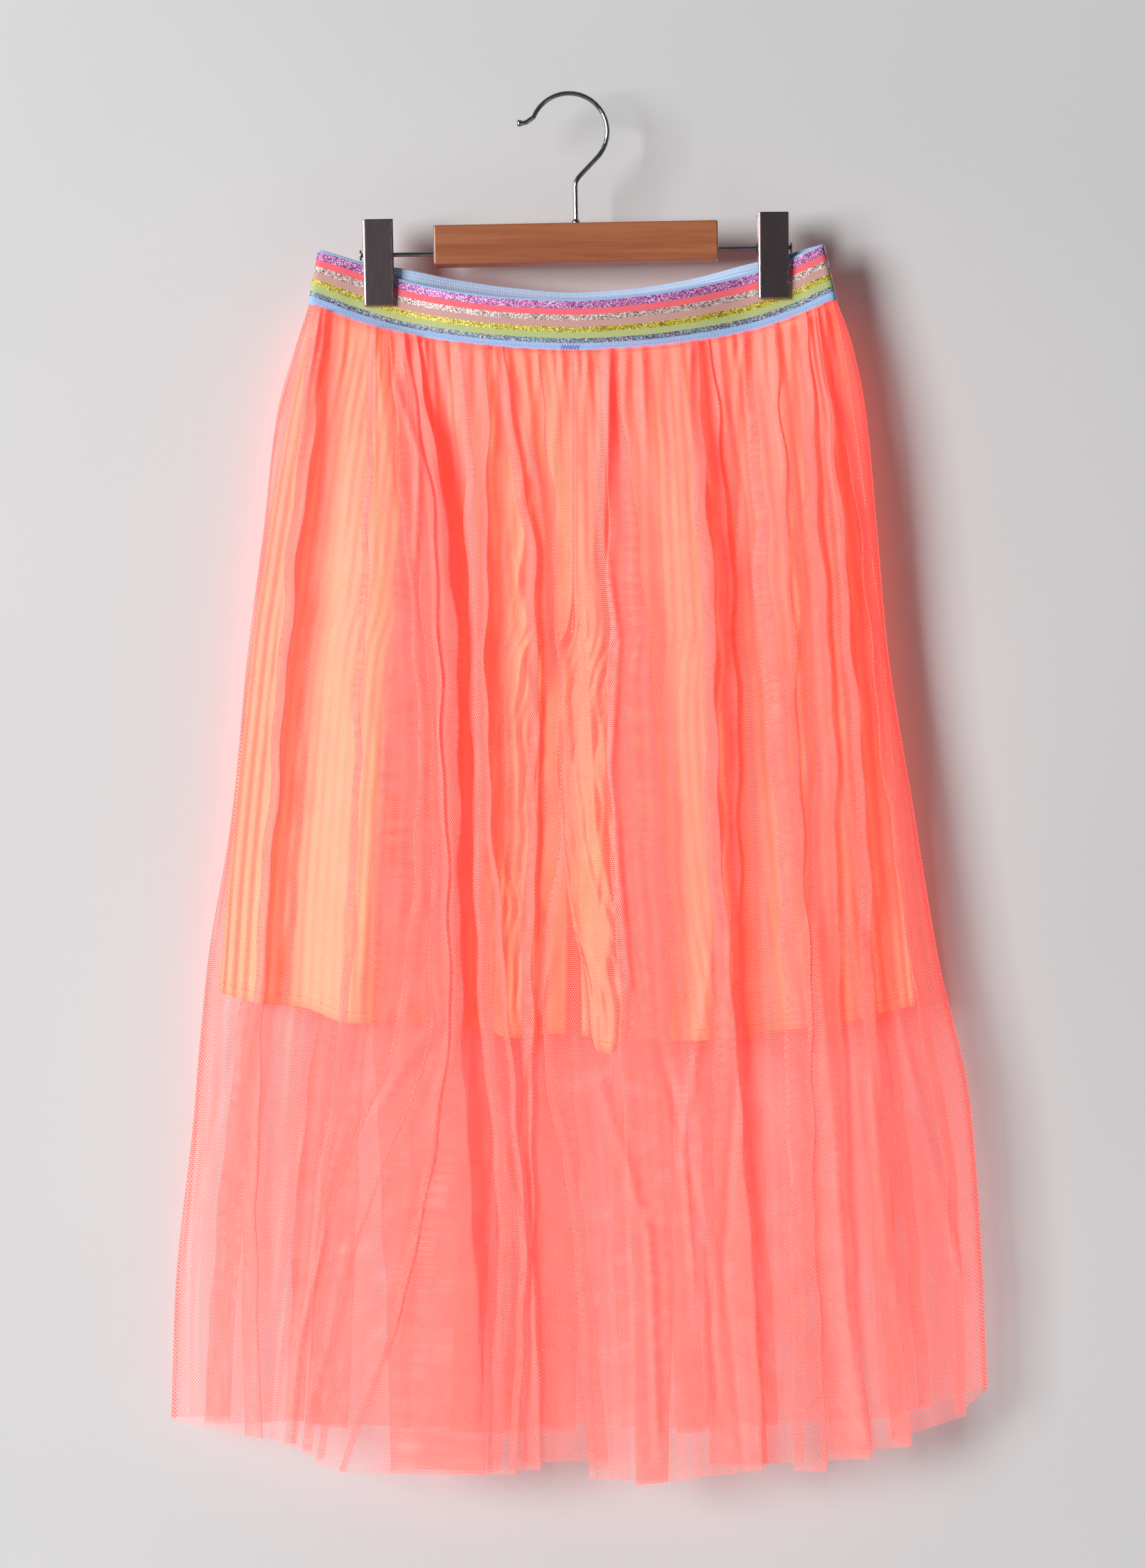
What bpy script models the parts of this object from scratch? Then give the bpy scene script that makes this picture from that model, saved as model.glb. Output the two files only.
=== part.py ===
"""A girl's skort on a clip hanger, built from its cut pieces.

A gathered net skirt hangs over pleated shorts. Both are sewn to the lower edge of one
wide elastic band, and two steel clips on the rod of a wooden hanger pinch that band.

Frame: +X to the wearer's left as seen from the front, the front faces -Y, +Z is up, and
the origin is the place inside the hook that rests on a rail. Sizes below are in
millimetres; UNIT turns them into Blender's metres.
"""

import math
from collections import namedtuple

import bmesh
import bpy
from mathutils import Matrix, Vector

UNIT = 0.001
SEAM_GAP = 0.3
BAND_SEAM_GAP = 0.4  # the band's edge is a little coarser than the panels sewn to it

# ---------------------------------------------------------------- driving sizes: cloth

NET_WALL = 1.2
SHORTS_WALL = 1.0
BAND_WALL = 2.0
LAYER_STEP = 0.8  # net lies this far outside, and shorts inside, the band's own middle

NET_COLUMNS = 38
NET_LEVELS = (0.0, 0.035, 0.08, 0.14, 0.24, 0.38, 0.54, 0.70, 0.85, 1.0)
NET_END_STEPS = 3
NET_SWELL_SHARE = 0.22  # share of the width over which the net rounds out from a seam
NET_FREE_BY = 0.16  # share of the drop in which it opens out from the band
FOLDS_START = 0.05  # share of the width beside a seam in which its folds die out
SHORTS_LEVELS = (0.0, 0.06, 0.14, 0.26, 0.42, 0.70, 1.0)
PLEAT_PITCH = 10.0
PLEAT_HEIGHT = 0.8
SHORTS_END_STEPS = 3
SHORTS_CLEAR = 1.3  # more room between shorts and net below the band
SHORTS_CLEAR_BY = 0.05
SHORTS_FREE_BY = 0.25  # share of the drop in which they open out from the band
BAND_COLUMNS = 24
BAND_LEVELS = (0.0, 0.3, 0.6, 0.8, 1.0)
BAND_END_STEPS = 4

# The elastic band lies nearly flat: x across, heights of its edges, half its opening.
BandRow = namedtuple("BandRow", "x front_top front_bottom back_top open_top open_bottom")
BAND = (
    BandRow(-166, -101.0, -136.0, -101.0, 3.0, 3.8),
    BandRow(-151, -105.2, -142.2, -104.6, 2.6, 3.8),
    BandRow(-136, -110.0, -148.0, -109.2, 1.3, 3.8),
    BandRow(-111, -120.2, -155.0, -113.0, 1.3, 4.2),
    BandRow(-74, -128.7, -162.0, -119.5, 7.0, 8.5),
    BandRow(-39, -133.0, -166.0, -124.0, 10.5, 11.5),
    BandRow(4, -134.6, -168.0, -127.0, 12.0, 12.5),
    BandRow(45, -131.6, -166.0, -124.5, 10.5, 11.5),
    BandRow(80, -126.0, -161.6, -119.5, 7.0, 8.5),
    BandRow(119, -116.6, -153.4, -110.4, 1.3, 4.2),
    BandRow(147, -107.2, -143.6, -103.6, 1.3, 3.8),
    BandRow(157, -102.6, -139.0, -100.4, 2.4, 3.8),
    BandRow(170, -97.0, -133.0, -97.0, 3.0, 3.8),
)
BAND_LEFT_TOP = -162.5
BAND_LEFT_BOTTOM = -169.0
BAND_RIGHT_TOP = 166.0
BAND_RIGHT_BOTTOM = 174.5
BAND_END_ROUND = 3.0
PINCHED_DOWN_TO = 0.80  # share of the band's height that the clips hold flat

# The net skirt's outline from the front and its half depth, from band to hem.
SkirtRow = namedtuple("SkirtRow", "down left right depth end_round")
SKIRT = (
    SkirtRow(0.00, -168.8, 174.3, 0.0, 4.6),
    SkirtRow(0.04, -178.0, 184.5, 7.5, 5.0),
    SkirtRow(0.10, -190.0, 193.5, 14.0, 5.5),
    SkirtRow(0.20, -198.5, 200.5, 17.5, 6.0),
    SkirtRow(0.32, -209.5, 208.0, 19.0, 6.5),
    SkirtRow(0.46, -219.5, 224.0, 20.0, 7.0),
    SkirtRow(0.60, -236.0, 240.5, 20.5, 7.5),
    SkirtRow(0.74, -245.0, 262.0, 20.5, 8.0),
    SkirtRow(0.88, -256.0, 269.5, 20.5, 8.0),
    SkirtRow(1.00, -259.0, 273.0, 20.5, 8.0),
)

# Cut edge of the net, uneven because each gather hangs a little lower or higher.
HemRow = namedtuple("HemRow", "x height")
FRONT_HEM = (
    HemRow(-259, -863), HemRow(-242, -869), HemRow(-199, -872), HemRow(-179, -877),
    HemRow(-156, -882), HemRow(-146, -893), HemRow(-119, -894), HemRow(-58, -895),
    HemRow(-16, -893), HemRow(-4, -886), HemRow(11, -885), HemRow(22, -896),
    HemRow(55, -902), HemRow(68, -890), HemRow(82, -890), HemRow(94, -897),
    HemRow(120, -893), HemRow(132, -888), HemRow(149, -893), HemRow(166, -893),
    HemRow(203, -885), HemRow(222, -876), HemRow(234, -858), HemRow(273, -843),
)
BACK_HEM = (
    HemRow(-259, -862), HemRow(-200, -866), HemRow(-150, -874), HemRow(-90, -871),
    HemRow(-30, -877), HemRow(30, -870), HemRow(90, -876), HemRow(140, -870),
    HemRow(200, -865), HemRow(240, -856), HemRow(273, -844),
)

# The largest folds of the net: place and width as shares of the panel, height outward.
FoldRow = namedtuple("FoldRow", "top hem width height")
FRONT_FOLDS = (
    FoldRow(0.07, 0.06, 0.060, 3.0),
    FoldRow(0.13, 0.12, 0.050, -2.5),
    FoldRow(0.22, 0.19, 0.075, 4.0),
    FoldRow(0.34, 0.31, 0.060, 3.0),
    FoldRow(0.38, 0.37, 0.045, -4.0),
    FoldRow(0.46, 0.45, 0.050, 4.0),
    FoldRow(0.53, 0.53, 0.040, -3.0),
    FoldRow(0.58, 0.59, 0.050, 3.5),
    FoldRow(0.66, 0.65, 0.050, -2.5),
    FoldRow(0.72, 0.72, 0.060, 4.0),
    FoldRow(0.80, 0.79, 0.050, -3.0),
    FoldRow(0.86, 0.86, 0.055, 3.5),
    FoldRow(0.94, 0.94, 0.045, 2.0),
)
BACK_FOLDS = (
    FoldRow(0.08, 0.07, 0.060, 2.5),
    FoldRow(0.17, 0.16, 0.060, 3.5),
    FoldRow(0.25, 0.24, 0.050, -3.0),
    FoldRow(0.33, 0.32, 0.065, 4.0),
    FoldRow(0.43, 0.43, 0.055, -3.5),
    FoldRow(0.51, 0.52, 0.060, 4.0),
    FoldRow(0.60, 0.61, 0.055, -2.5),
    FoldRow(0.69, 0.70, 0.070, 4.0),
    FoldRow(0.79, 0.79, 0.050, -3.0),
    FoldRow(0.87, 0.88, 0.060, 3.5),
    FoldRow(0.94, 0.94, 0.040, 1.5),
)

# The shorts: side seams, inside leg seams and half depth, from band to hem.
LegRow = namedtuple("LegRow", "down left_side left_inner right_inner right_side depth joined")
LEGS = (
    LegRow(0.00, -166.2, 3.4, 3.7, 171.7, 0.0, 0.0),
    LegRow(0.05, -171.0, 3.4, 3.7, 177.5, 5.0, 0.0),
    LegRow(0.14, -180.5, 3.4, 3.7, 184.5, 10.0, 0.0),
    LegRow(0.34, -196.0, 3.4, 3.7, 196.5, 12.0, 0.0),
    LegRow(0.44, -203.0, 2.3, 5.1, 202.5, 12.0, 1.0),
    LegRow(0.70, -216.0, 0.4, 7.0, 213.0, 12.0, 1.0),
    LegRow(1.00, -227.0, -1.0, 9.0, 226.0, 12.0, 1.0),
)
LEFT_FRONT_HEM = (
    HemRow(-227, -585), HemRow(-143, -604), HemRow(-60, -606), HemRow(-1, -612),
)
LEFT_BACK_HEM = (
    HemRow(-227, -585), HemRow(-143, -600), HemRow(-60, -604), HemRow(-1, -608),
)
RIGHT_FRONT_HEM = (
    HemRow(9, -620), HemRow(22, -623), HemRow(36, -619), HemRow(114, -614),
    HemRow(142, -609), HemRow(174, -605), HemRow(226, -593),
)
RIGHT_BACK_HEM = (
    HemRow(9, -610), HemRow(114, -608), HemRow(174, -602), HemRow(226, -593),
)
SHORTS_END_ROUND = 2.6
SHORTS_MIDDLE_ROUND = 2.4
SIDE_SWELL_SHARE = 0.30  # share of a leg's width over which it rounds out from its side
INSIDE_SWELL_SHARE = 0.24  # and from its inside seam
PLEATS_FULL_BY = 0.10  # share of the drop in which the pleats grow to their height
PLEATS_START = 0.04  # share of the width beside a seam in which they die out

# ---------------------------------------------------------------- driving sizes: hanger

HANGER_TILT = math.radians(-1.05)  # its right side hangs a little higher
WIRE_DIAMETER = 3.0
WIRE_SIDES = 12
HOOK_RADIUS = 25.0  # to the middle of the wire
HOOK_CENTRE = Vector((0.0, 0.0, WIRE_DIAMETER / 2 - HOOK_RADIUS))
HOOK_START = math.radians(157)
HOOK_END = math.radians(-48)
HOOK_STEPS = 22
HOOK_TIP = (
    Vector((-25.4, 0.0, -15.4)),
    Vector((-27.6, 0.0, -16.9)),
    Vector((-30.0, 0.0, -17.4)),
    Vector((-31.4, 0.0, -17.45)),
    Vector((-32.8, 0.0, -17.5)),
    Vector((-33.8, 0.0, -17.5)),
)
HOOK_TIP_RADII = (1.5, 1.5, 1.5, 2.1, 2.3, 1.5)
SHANK_X = 3.4
SHANK_BEND_HEIGHT = -55.7
BEND_STEPS = 6
BEND_REACH = 4.0
SHANK_DEPTH = 11.0  # how far the shank goes into the wood

BAR_LENGTH = 185.0
BAR_HEIGHT = 25.6
BAR_DEPTH = 20.0
BAR_TOP = -84.2
BAR_X = 3.0
BAR_ROUND = 1.2
BORE_GAP = 0.3
TOOL_PAST = 5.0  # how far a cutter reaches past the face it cuts

FERRULE_RADIUS = 2.6
FERRULE_HEIGHT = 3.0

ROD_DROP = 17.6  # below the top of the bar
ROD_LEFT = -137.8
ROD_RIGHT = 143.9
ROD_HEAD_RADIUS = 3.5
ROD_HEAD_LENGTH = 1.1
HEAD_EDGE = 0.15

# Each clip: its middle along the rod, its turn about the upright, half its jaws' opening
# and the radius of its ears' holes, which is loose enough for that turn.
ClipRow = namedtuple("ClipRow", "name x turn jaw hole")
CLIPS = (
    ClipRow("left", -125.5, 0.0, 2.7, 1.8),
    ClipRow("right", 131.0, 4.5, 3.4, 2.55),
)
CLIP_WIDTH = 20.0
CLIP_ABOVE_ROD = 22.8
CLIP_BELOW_ROD = 33.2
CLIP_SHEET = 1.0
CLIP_FLANGE = 1.2
CLIP_LEAN = math.radians(4.5)
CLIP_STEP = 1.4  # the back plate's ears fit inside the front plate's
EAR_RADIUS = 3.6
EAR_SIDES = 20
LIP_HEIGHT = 3.0
LIP_DEPTH = 1.3
CLIP_EDGE_ROUND = 0.7
SPRING_WIRE = 0.9
SPRING_TURNS = 4
SPRING_PITCH = 1.5
SPRING_SIDES = 6
SPRING_STEPS = 12

# ---------------------------------------------------------------- finishes

Finish = namedtuple("Finish", "colour roughness metallic")
FINISHES = {
    "net": Finish((1.0, 0.30, 0.22), 0.75, 0.0),
    "pleated_cloth": Finish((1.0, 0.36, 0.20), 0.60, 0.0),
    "elastic": Finish((0.45, 0.58, 0.85), 0.70, 0.0),
    "wood": Finish((0.42, 0.16, 0.06), 0.45, 0.0),
    "chrome": Finish((0.62, 0.62, 0.64), 0.12, 1.0),
    "clip_steel": Finish((0.42, 0.40, 0.41), 0.30, 1.0),
}


def finish(name):
    """The material of that name, made the first time it is asked for."""
    if name in bpy.data.materials:
        return bpy.data.materials[name]
    look = FINISHES[name]
    material = bpy.data.materials.new(name)
    material.use_nodes = True
    shader = material.node_tree.nodes["Principled BSDF"]
    shader.inputs["Base Color"].default_value = (*look.colour, 1.0)
    shader.inputs["Roughness"].default_value = look.roughness
    shader.inputs["Metallic"].default_value = look.metallic
    return material


# ---------------------------------------------------------------- general helpers


def slope_at(rows, given, wanted, k):
    """The slope of a table's curve at row k, flat where the column turns."""
    if k in (0, len(rows) - 1):
        return None
    before = getattr(rows[k], given) - getattr(rows[k - 1], given)
    after = getattr(rows[k + 1], given) - getattr(rows[k], given)
    rise_before = (getattr(rows[k], wanted) - getattr(rows[k - 1], wanted)) / before
    rise_after = (getattr(rows[k + 1], wanted) - getattr(rows[k], wanted)) / after
    if rise_before * rise_after <= 0:
        return 0.0
    return 2 * rise_before * rise_after / (rise_before + rise_after)


def read_table(rows, given, wanted, at):
    """The wanted column where the given one is at, on a smooth curve through the rows."""
    at = min(max(at, getattr(rows[0], given)), getattr(rows[-1], given))
    k = 0
    while k < len(rows) - 2 and getattr(rows[k + 1], given) < at:
        k += 1
    start, end = getattr(rows[k], given), getattr(rows[k + 1], given)
    low, high = getattr(rows[k], wanted), getattr(rows[k + 1], wanted)
    span = end - start
    share = (at - start) / span
    straight = (high - low) / span
    leave = slope_at(rows, given, wanted, k)
    arrive = slope_at(rows, given, wanted, k + 1)
    leave = straight if leave is None else leave
    arrive = straight if arrive is None else arrive
    s2, s3 = share * share, share**3
    return (
        low * (2 * s3 - 3 * s2 + 1)
        + high * (3 * s2 - 2 * s3)
        + span * leave * (s3 - 2 * s2 + share)
        + span * arrive * (s3 - s2)
    )


def ease(value):
    """Rises smoothly from 0 to 1 as value does."""
    value = min(max(value, 0.0), 1.0)
    return value * value * (3 - 2 * value)


def blend(low, high, share):
    return low + (high - low) * share


def new_object(name, mesh_data, material, smooth_angle=40):
    """Puts a bmesh drawn in millimetres into the scene as one named object."""
    bmesh.ops.recalc_face_normals(mesh_data, faces=mesh_data.faces)
    bmesh.ops.scale(mesh_data, vec=(UNIT, UNIT, UNIT), verts=mesh_data.verts)
    mesh = bpy.data.meshes.new(name)
    mesh_data.to_mesh(mesh)
    mesh_data.free()
    if smooth_angle:
        mesh.shade_smooth()
        mesh.set_sharp_from_angle(angle=math.radians(smooth_angle))
    thing = bpy.data.objects.new(name, mesh)
    bpy.context.scene.collection.objects.link(thing)
    thing.data.materials.append(finish(material))
    return thing


def hide_tool(thing):
    """A shape that only cuts or joins another one isn't part of the object."""
    thing.hide_render = True
    thing.display_type = "WIRE"


def combine(thing, tool, operation):
    """Cuts tool out of thing, or joins it to thing."""
    hide_tool(tool)
    step = thing.modifiers.new(tool.name, "BOOLEAN")
    step.operation = operation
    step.solver = "EXACT"
    step.object = tool


def cloth_wall(name, grid, thickness, material, ghosts=None):
    """A closed wall of cloth around the middle points of grid, given row by row.

    With ghosts, each row has a point before its first and one after its last, which
    only set how the wall faces there. Without them the rows run round a ring.
    """
    ring = ghosts is None
    mesh_data = bmesh.new()
    faces_of = []
    rows, columns = len(grid), len(grid[0])
    for i in range(rows):
        line = []
        for j in range(columns):
            if ring:
                before, after = grid[i][j - 1], grid[i][(j + 1) % columns]
            else:
                before = grid[i][j - 1] if j else ghosts[i][0]
                after = grid[i][j + 1] if j < columns - 1 else ghosts[i][1]
            above, below = grid[max(i - 1, 0)][j], grid[min(i + 1, rows - 1)][j]
            facing = (after - before).cross(above - below)
            if i in (0, rows - 1):
                facing.z = 0.0  # a cut edge stays at the height of its points
            facing.normalize()
            point = grid[i][j]
            outer = mesh_data.verts.new(point + facing * thickness / 2)
            inner = mesh_data.verts.new(point - facing * thickness / 2)
            line.append((outer, inner))
        faces_of.append(line)
    for i in range(rows - 1):
        for j in range(columns if ring else columns - 1):
            k = (j + 1) % columns
            for side in (0, 1):
                mesh_data.faces.new((
                    faces_of[i][j][side],
                    faces_of[i][k][side],
                    faces_of[i + 1][k][side],
                    faces_of[i + 1][j][side],
                ))
    for j in range(columns if ring else columns - 1):
        k = (j + 1) % columns
        for i in (0, rows - 1):
            mesh_data.faces.new((
                faces_of[i][j][0], faces_of[i][k][0], faces_of[i][k][1], faces_of[i][j][1],
            ))
    if not ring:
        for i in range(rows - 1):
            for j in (0, columns - 1):
                mesh_data.faces.new((
                    faces_of[i][j][0],
                    faces_of[i + 1][j][0],
                    faces_of[i + 1][j][1],
                    faces_of[i][j][1],
                ))
    bmesh.ops.triangulate(mesh_data, faces=mesh_data.faces, quad_method="SHORT_EDGE")
    return new_object(name, mesh_data, material, smooth_angle=60)


def tube(name, centres, radii, sides, material):
    """A round bar swept along centres, closed at both ends."""
    mesh_data = bmesh.new()
    rings = []
    along = (centres[1] - centres[0]).normalized()
    across = along.orthogonal().normalized()
    for k, centre in enumerate(centres):
        ahead = centres[min(k + 1, len(centres) - 1)] - centres[max(k - 1, 0)]
        ahead.normalize()
        across = (across - ahead * across.dot(ahead)).normalized()
        other = ahead.cross(across)
        ring = []
        for m in range(sides):
            angle = 2 * math.pi * m / sides
            offset = across * math.cos(angle) + other * math.sin(angle)
            ring.append(mesh_data.verts.new(centre + offset * radii[k]))
        rings.append(ring)
    for first, second in zip(rings, rings[1:]):
        for m in range(sides):
            n = (m + 1) % sides
            mesh_data.faces.new((first[m], first[n], second[n], second[m]))
    mesh_data.faces.new(rings[0])
    mesh_data.faces.new(rings[-1])
    return new_object(name, mesh_data, material)


def turned_ring(name, outline, sides, material):
    """A ring about the upright axis, turned from a closed outline of (radius, height)."""
    mesh_data = bmesh.new()
    rings = []
    for m in range(sides):
        angle = 2 * math.pi * m / sides
        rings.append([
            mesh_data.verts.new((r * math.cos(angle), r * math.sin(angle), h))
            for r, h in outline
        ])
    for m in range(sides):
        first, second = rings[m], rings[(m + 1) % sides]
        for k in range(len(outline)):
            n = (k + 1) % len(outline)
            mesh_data.faces.new((first[k], first[n], second[n], second[k]))
    return new_object(name, mesh_data, material)


def extruded(name, outline, axis, start, end, material, smooth_angle=40):
    """A prism: outline's pairs of numbers fill the two other axes, in order."""
    others = [k for k in range(3) if k != axis]
    mesh_data = bmesh.new()
    ends = []
    for where in (start, end):
        ring = []
        for pair in outline:
            point = [0.0, 0.0, 0.0]
            point[axis] = where
            point[others[0]], point[others[1]] = pair
            ring.append(mesh_data.verts.new(point))
        ends.append(ring)
        mesh_data.faces.new(ring)
    for k in range(len(outline)):
        n = (k + 1) % len(outline)
        mesh_data.faces.new((ends[0][k], ends[0][n], ends[1][n], ends[1][k]))
    return new_object(name, mesh_data, material, smooth_angle)


# ---------------------------------------------------------------- the elastic band


def band_x(share, low_share):
    """Across the band at share of its width, low_share of the way down."""
    left = blend(BAND_LEFT_TOP, BAND_LEFT_BOTTOM, low_share)
    right = blend(BAND_RIGHT_TOP, BAND_RIGHT_BOTTOM, low_share)
    return blend(left, right, share)


def band_height(share, low_share, back):
    """Height of the band there. The back edge hangs in a shallower curve."""
    x = blend(BAND[0].x, BAND[-1].x, share)
    top = read_table(BAND, "x", "back_top" if back else "front_top", x)
    deep = read_table(BAND, "x", "front_top", x) - read_table(BAND, "x", "front_bottom", x)
    return top - deep * low_share


def band_open(share, low_share):
    """Half the opening between the middles of the band's front and back there."""
    x = blend(BAND[0].x, BAND[-1].x, share)
    top = read_table(BAND, "x", "open_top", x)
    bottom = read_table(BAND, "x", "open_bottom", x)
    spread = ease((low_share - PINCHED_DOWN_TO) / (1 - PINCHED_DOWN_TO))
    return blend(top, bottom, spread)


def band_side(low_share, back):
    """Points along the front or back of the band, left to right, without its end rounds."""
    sign = 1 if back else -1
    points = []
    round_share = BAND_END_ROUND / (BAND_RIGHT_TOP - BAND_LEFT_TOP)
    for j in range(BAND_COLUMNS + 1):
        share = blend(round_share, 1 - round_share, j / BAND_COLUMNS)
        points.append(Vector((
            band_x(share, low_share),
            sign * band_open(share, low_share),
            band_height(share, low_share, back),
        )))
    return points


def waistband():
    """The ring of elastic, from its top edge to its bottom edge."""
    grid = []
    for low_share in BAND_LEVELS:
        front = band_side(low_share, back=False)
        back = band_side(low_share, back=True)
        ring = list(front)
        for start, end, share in ((front[-1], back[-1], 1.0), (back[0], front[0], 0.0)):
            tip_height = band_height(share, low_share, back=False)
            for k in range(1, BAND_END_STEPS):
                turn = math.pi * k / BAND_END_STEPS
                middle = start.lerp(end, (1 - math.cos(turn)) / 2)
                middle.x = blend(start.x, band_x(share, low_share), math.sin(turn))
                middle.z = blend(middle.z, tip_height, math.sin(turn))
                ring.append(middle)
            if share:
                ring.extend(reversed(back))
        grid.append(ring)
    return cloth_wall("waistband", grid, BAND_WALL, "elastic")


# ---------------------------------------------------------------- the net skirt


def fold_height(folds, share, down):
    """How far the net's folds carry it outward there."""
    total = 0.0
    for fold in folds:
        reach = (share - blend(fold.top, fold.hem, down)) / fold.width
        if abs(reach) < 1:
            total += fold.height * math.cos(reach * math.pi / 2) ** 2
    return total


def net_open(share, down, back):
    """Half the opening between the middles of the net's front and back there."""
    near_end = min(share, 1 - share)
    end_round = read_table(SKIRT, "down", "end_round", down)
    depth = max(read_table(SKIRT, "down", "depth", down), end_round)
    at_band = band_open(share, 1.0) + LAYER_STEP
    free = blend(end_round, depth, ease(near_end / NET_SWELL_SHARE))
    open_by = blend(at_band, max(free, at_band), ease(down / NET_FREE_BY))
    rise = fold_height(BACK_FOLDS if back else FRONT_FOLDS, share, down)
    return open_by + rise * ease(down / NET_FREE_BY) * ease(near_end / FOLDS_START)


def net_top(share, back):
    """Height of the net's sewn edge, just under the band."""
    return band_height(share, 1.0, back) - BAND_SEAM_GAP


def net_hem(share, back):
    """Height of the net's cut edge."""
    x = blend(SKIRT[-1].left, SKIRT[-1].right, share)
    return read_table(BACK_HEM if back else FRONT_HEM, "x", "height", x)


def net_point(share, down, back):
    """The middle of the net at share of its width, down from band (0) to hem (1)."""
    left = read_table(SKIRT, "down", "left", down)
    right = read_table(SKIRT, "down", "right", down)
    sign = 1 if back else -1
    height = blend(net_top(share, back), net_hem(share, back), down)
    return Vector((blend(left, right, share), sign * net_open(share, down, back), height))


def net_open_at(x, height, back):
    """The same opening at a place given by x and height, which a few steps find."""
    down = 0.3
    for step in range(4):
        left = read_table(SKIRT, "down", "left", down)
        right = read_table(SKIRT, "down", "right", down)
        share = min(max((x - left) / (right - left), 0.0), 1.0)
        top, hem = net_top(share, back), net_hem(share, back)
        down = min(max((top - height) / (top - hem), 0.0), 1.0)
    return net_open(share, down, back)


def panel_row(inner_points, seam_first, seam_last, steps):
    """Adds a quarter round at each end of a row, from its side seam."""
    row = []
    start, end = inner_points[0], inner_points[-1]
    for k in range(steps):
        turn = math.pi / 2 * k / steps
        row.append(Vector((
            blend(start.x, seam_first.x, math.cos(turn)),
            blend(seam_first.y, start.y, math.sin(turn)),
            blend(seam_first.z, start.z, math.sin(turn)),
        )))
    row.extend(inner_points)
    for k in reversed(range(steps)):
        turn = math.pi / 2 * k / steps
        row.append(Vector((
            blend(end.x, seam_last.x, math.cos(turn)),
            blend(seam_last.y, end.y, math.sin(turn)),
            blend(seam_last.z, end.z, math.sin(turn)),
        )))
    return row


def across_seam(seam, inside):
    """The point inside, mirrored over a side seam, so the wall meets the seam squarely."""
    return Vector((inside.x, 2 * seam.y - inside.y, 2 * seam.z - inside.z))


def net_panel(name, back):
    """Front or back of the net skirt, between its two side seams."""
    grid, ghosts = [], []
    sign = 1 if back else -1
    for down in NET_LEVELS:
        left = read_table(SKIRT, "down", "left", down)
        right = read_table(SKIRT, "down", "right", down)
        end_share = read_table(SKIRT, "down", "end_round", down) / (right - left)
        points = []
        for j in range(NET_COLUMNS + 1):
            share = blend(end_share, 1 - end_share, j / NET_COLUMNS)
            points.append(net_point(share, down, back))
        seams = []
        for share, x in ((0.0, left), (1.0, right)):
            height = net_point(share, down, back).z
            seams.append(Vector((x, sign * SEAM_GAP / 2, height)))
        row = panel_row(points, seams[0], seams[1], NET_END_STEPS)
        grid.append(row)
        ghosts.append((across_seam(row[0], row[1]), across_seam(row[-1], row[-2])))
    return cloth_wall(name, grid, NET_WALL, "net", ghosts)


# ---------------------------------------------------------------- the pleated shorts


def shorts_depth(side_share, inner_share, down):
    """Half depth of a leg, side_share of a leg's width from its side seam."""
    depth = read_table(LEGS, "down", "depth", down)
    joined = read_table(LEGS, "down", "joined", down)
    from_side = blend(SHORTS_END_ROUND, depth, ease(side_share / SIDE_SWELL_SHARE))
    closing = ease(inner_share / INSIDE_SWELL_SHARE)
    from_inside = blend(SHORTS_MIDDLE_ROUND, depth, closing)
    return min(from_side, blend(depth, from_inside, joined))


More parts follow.
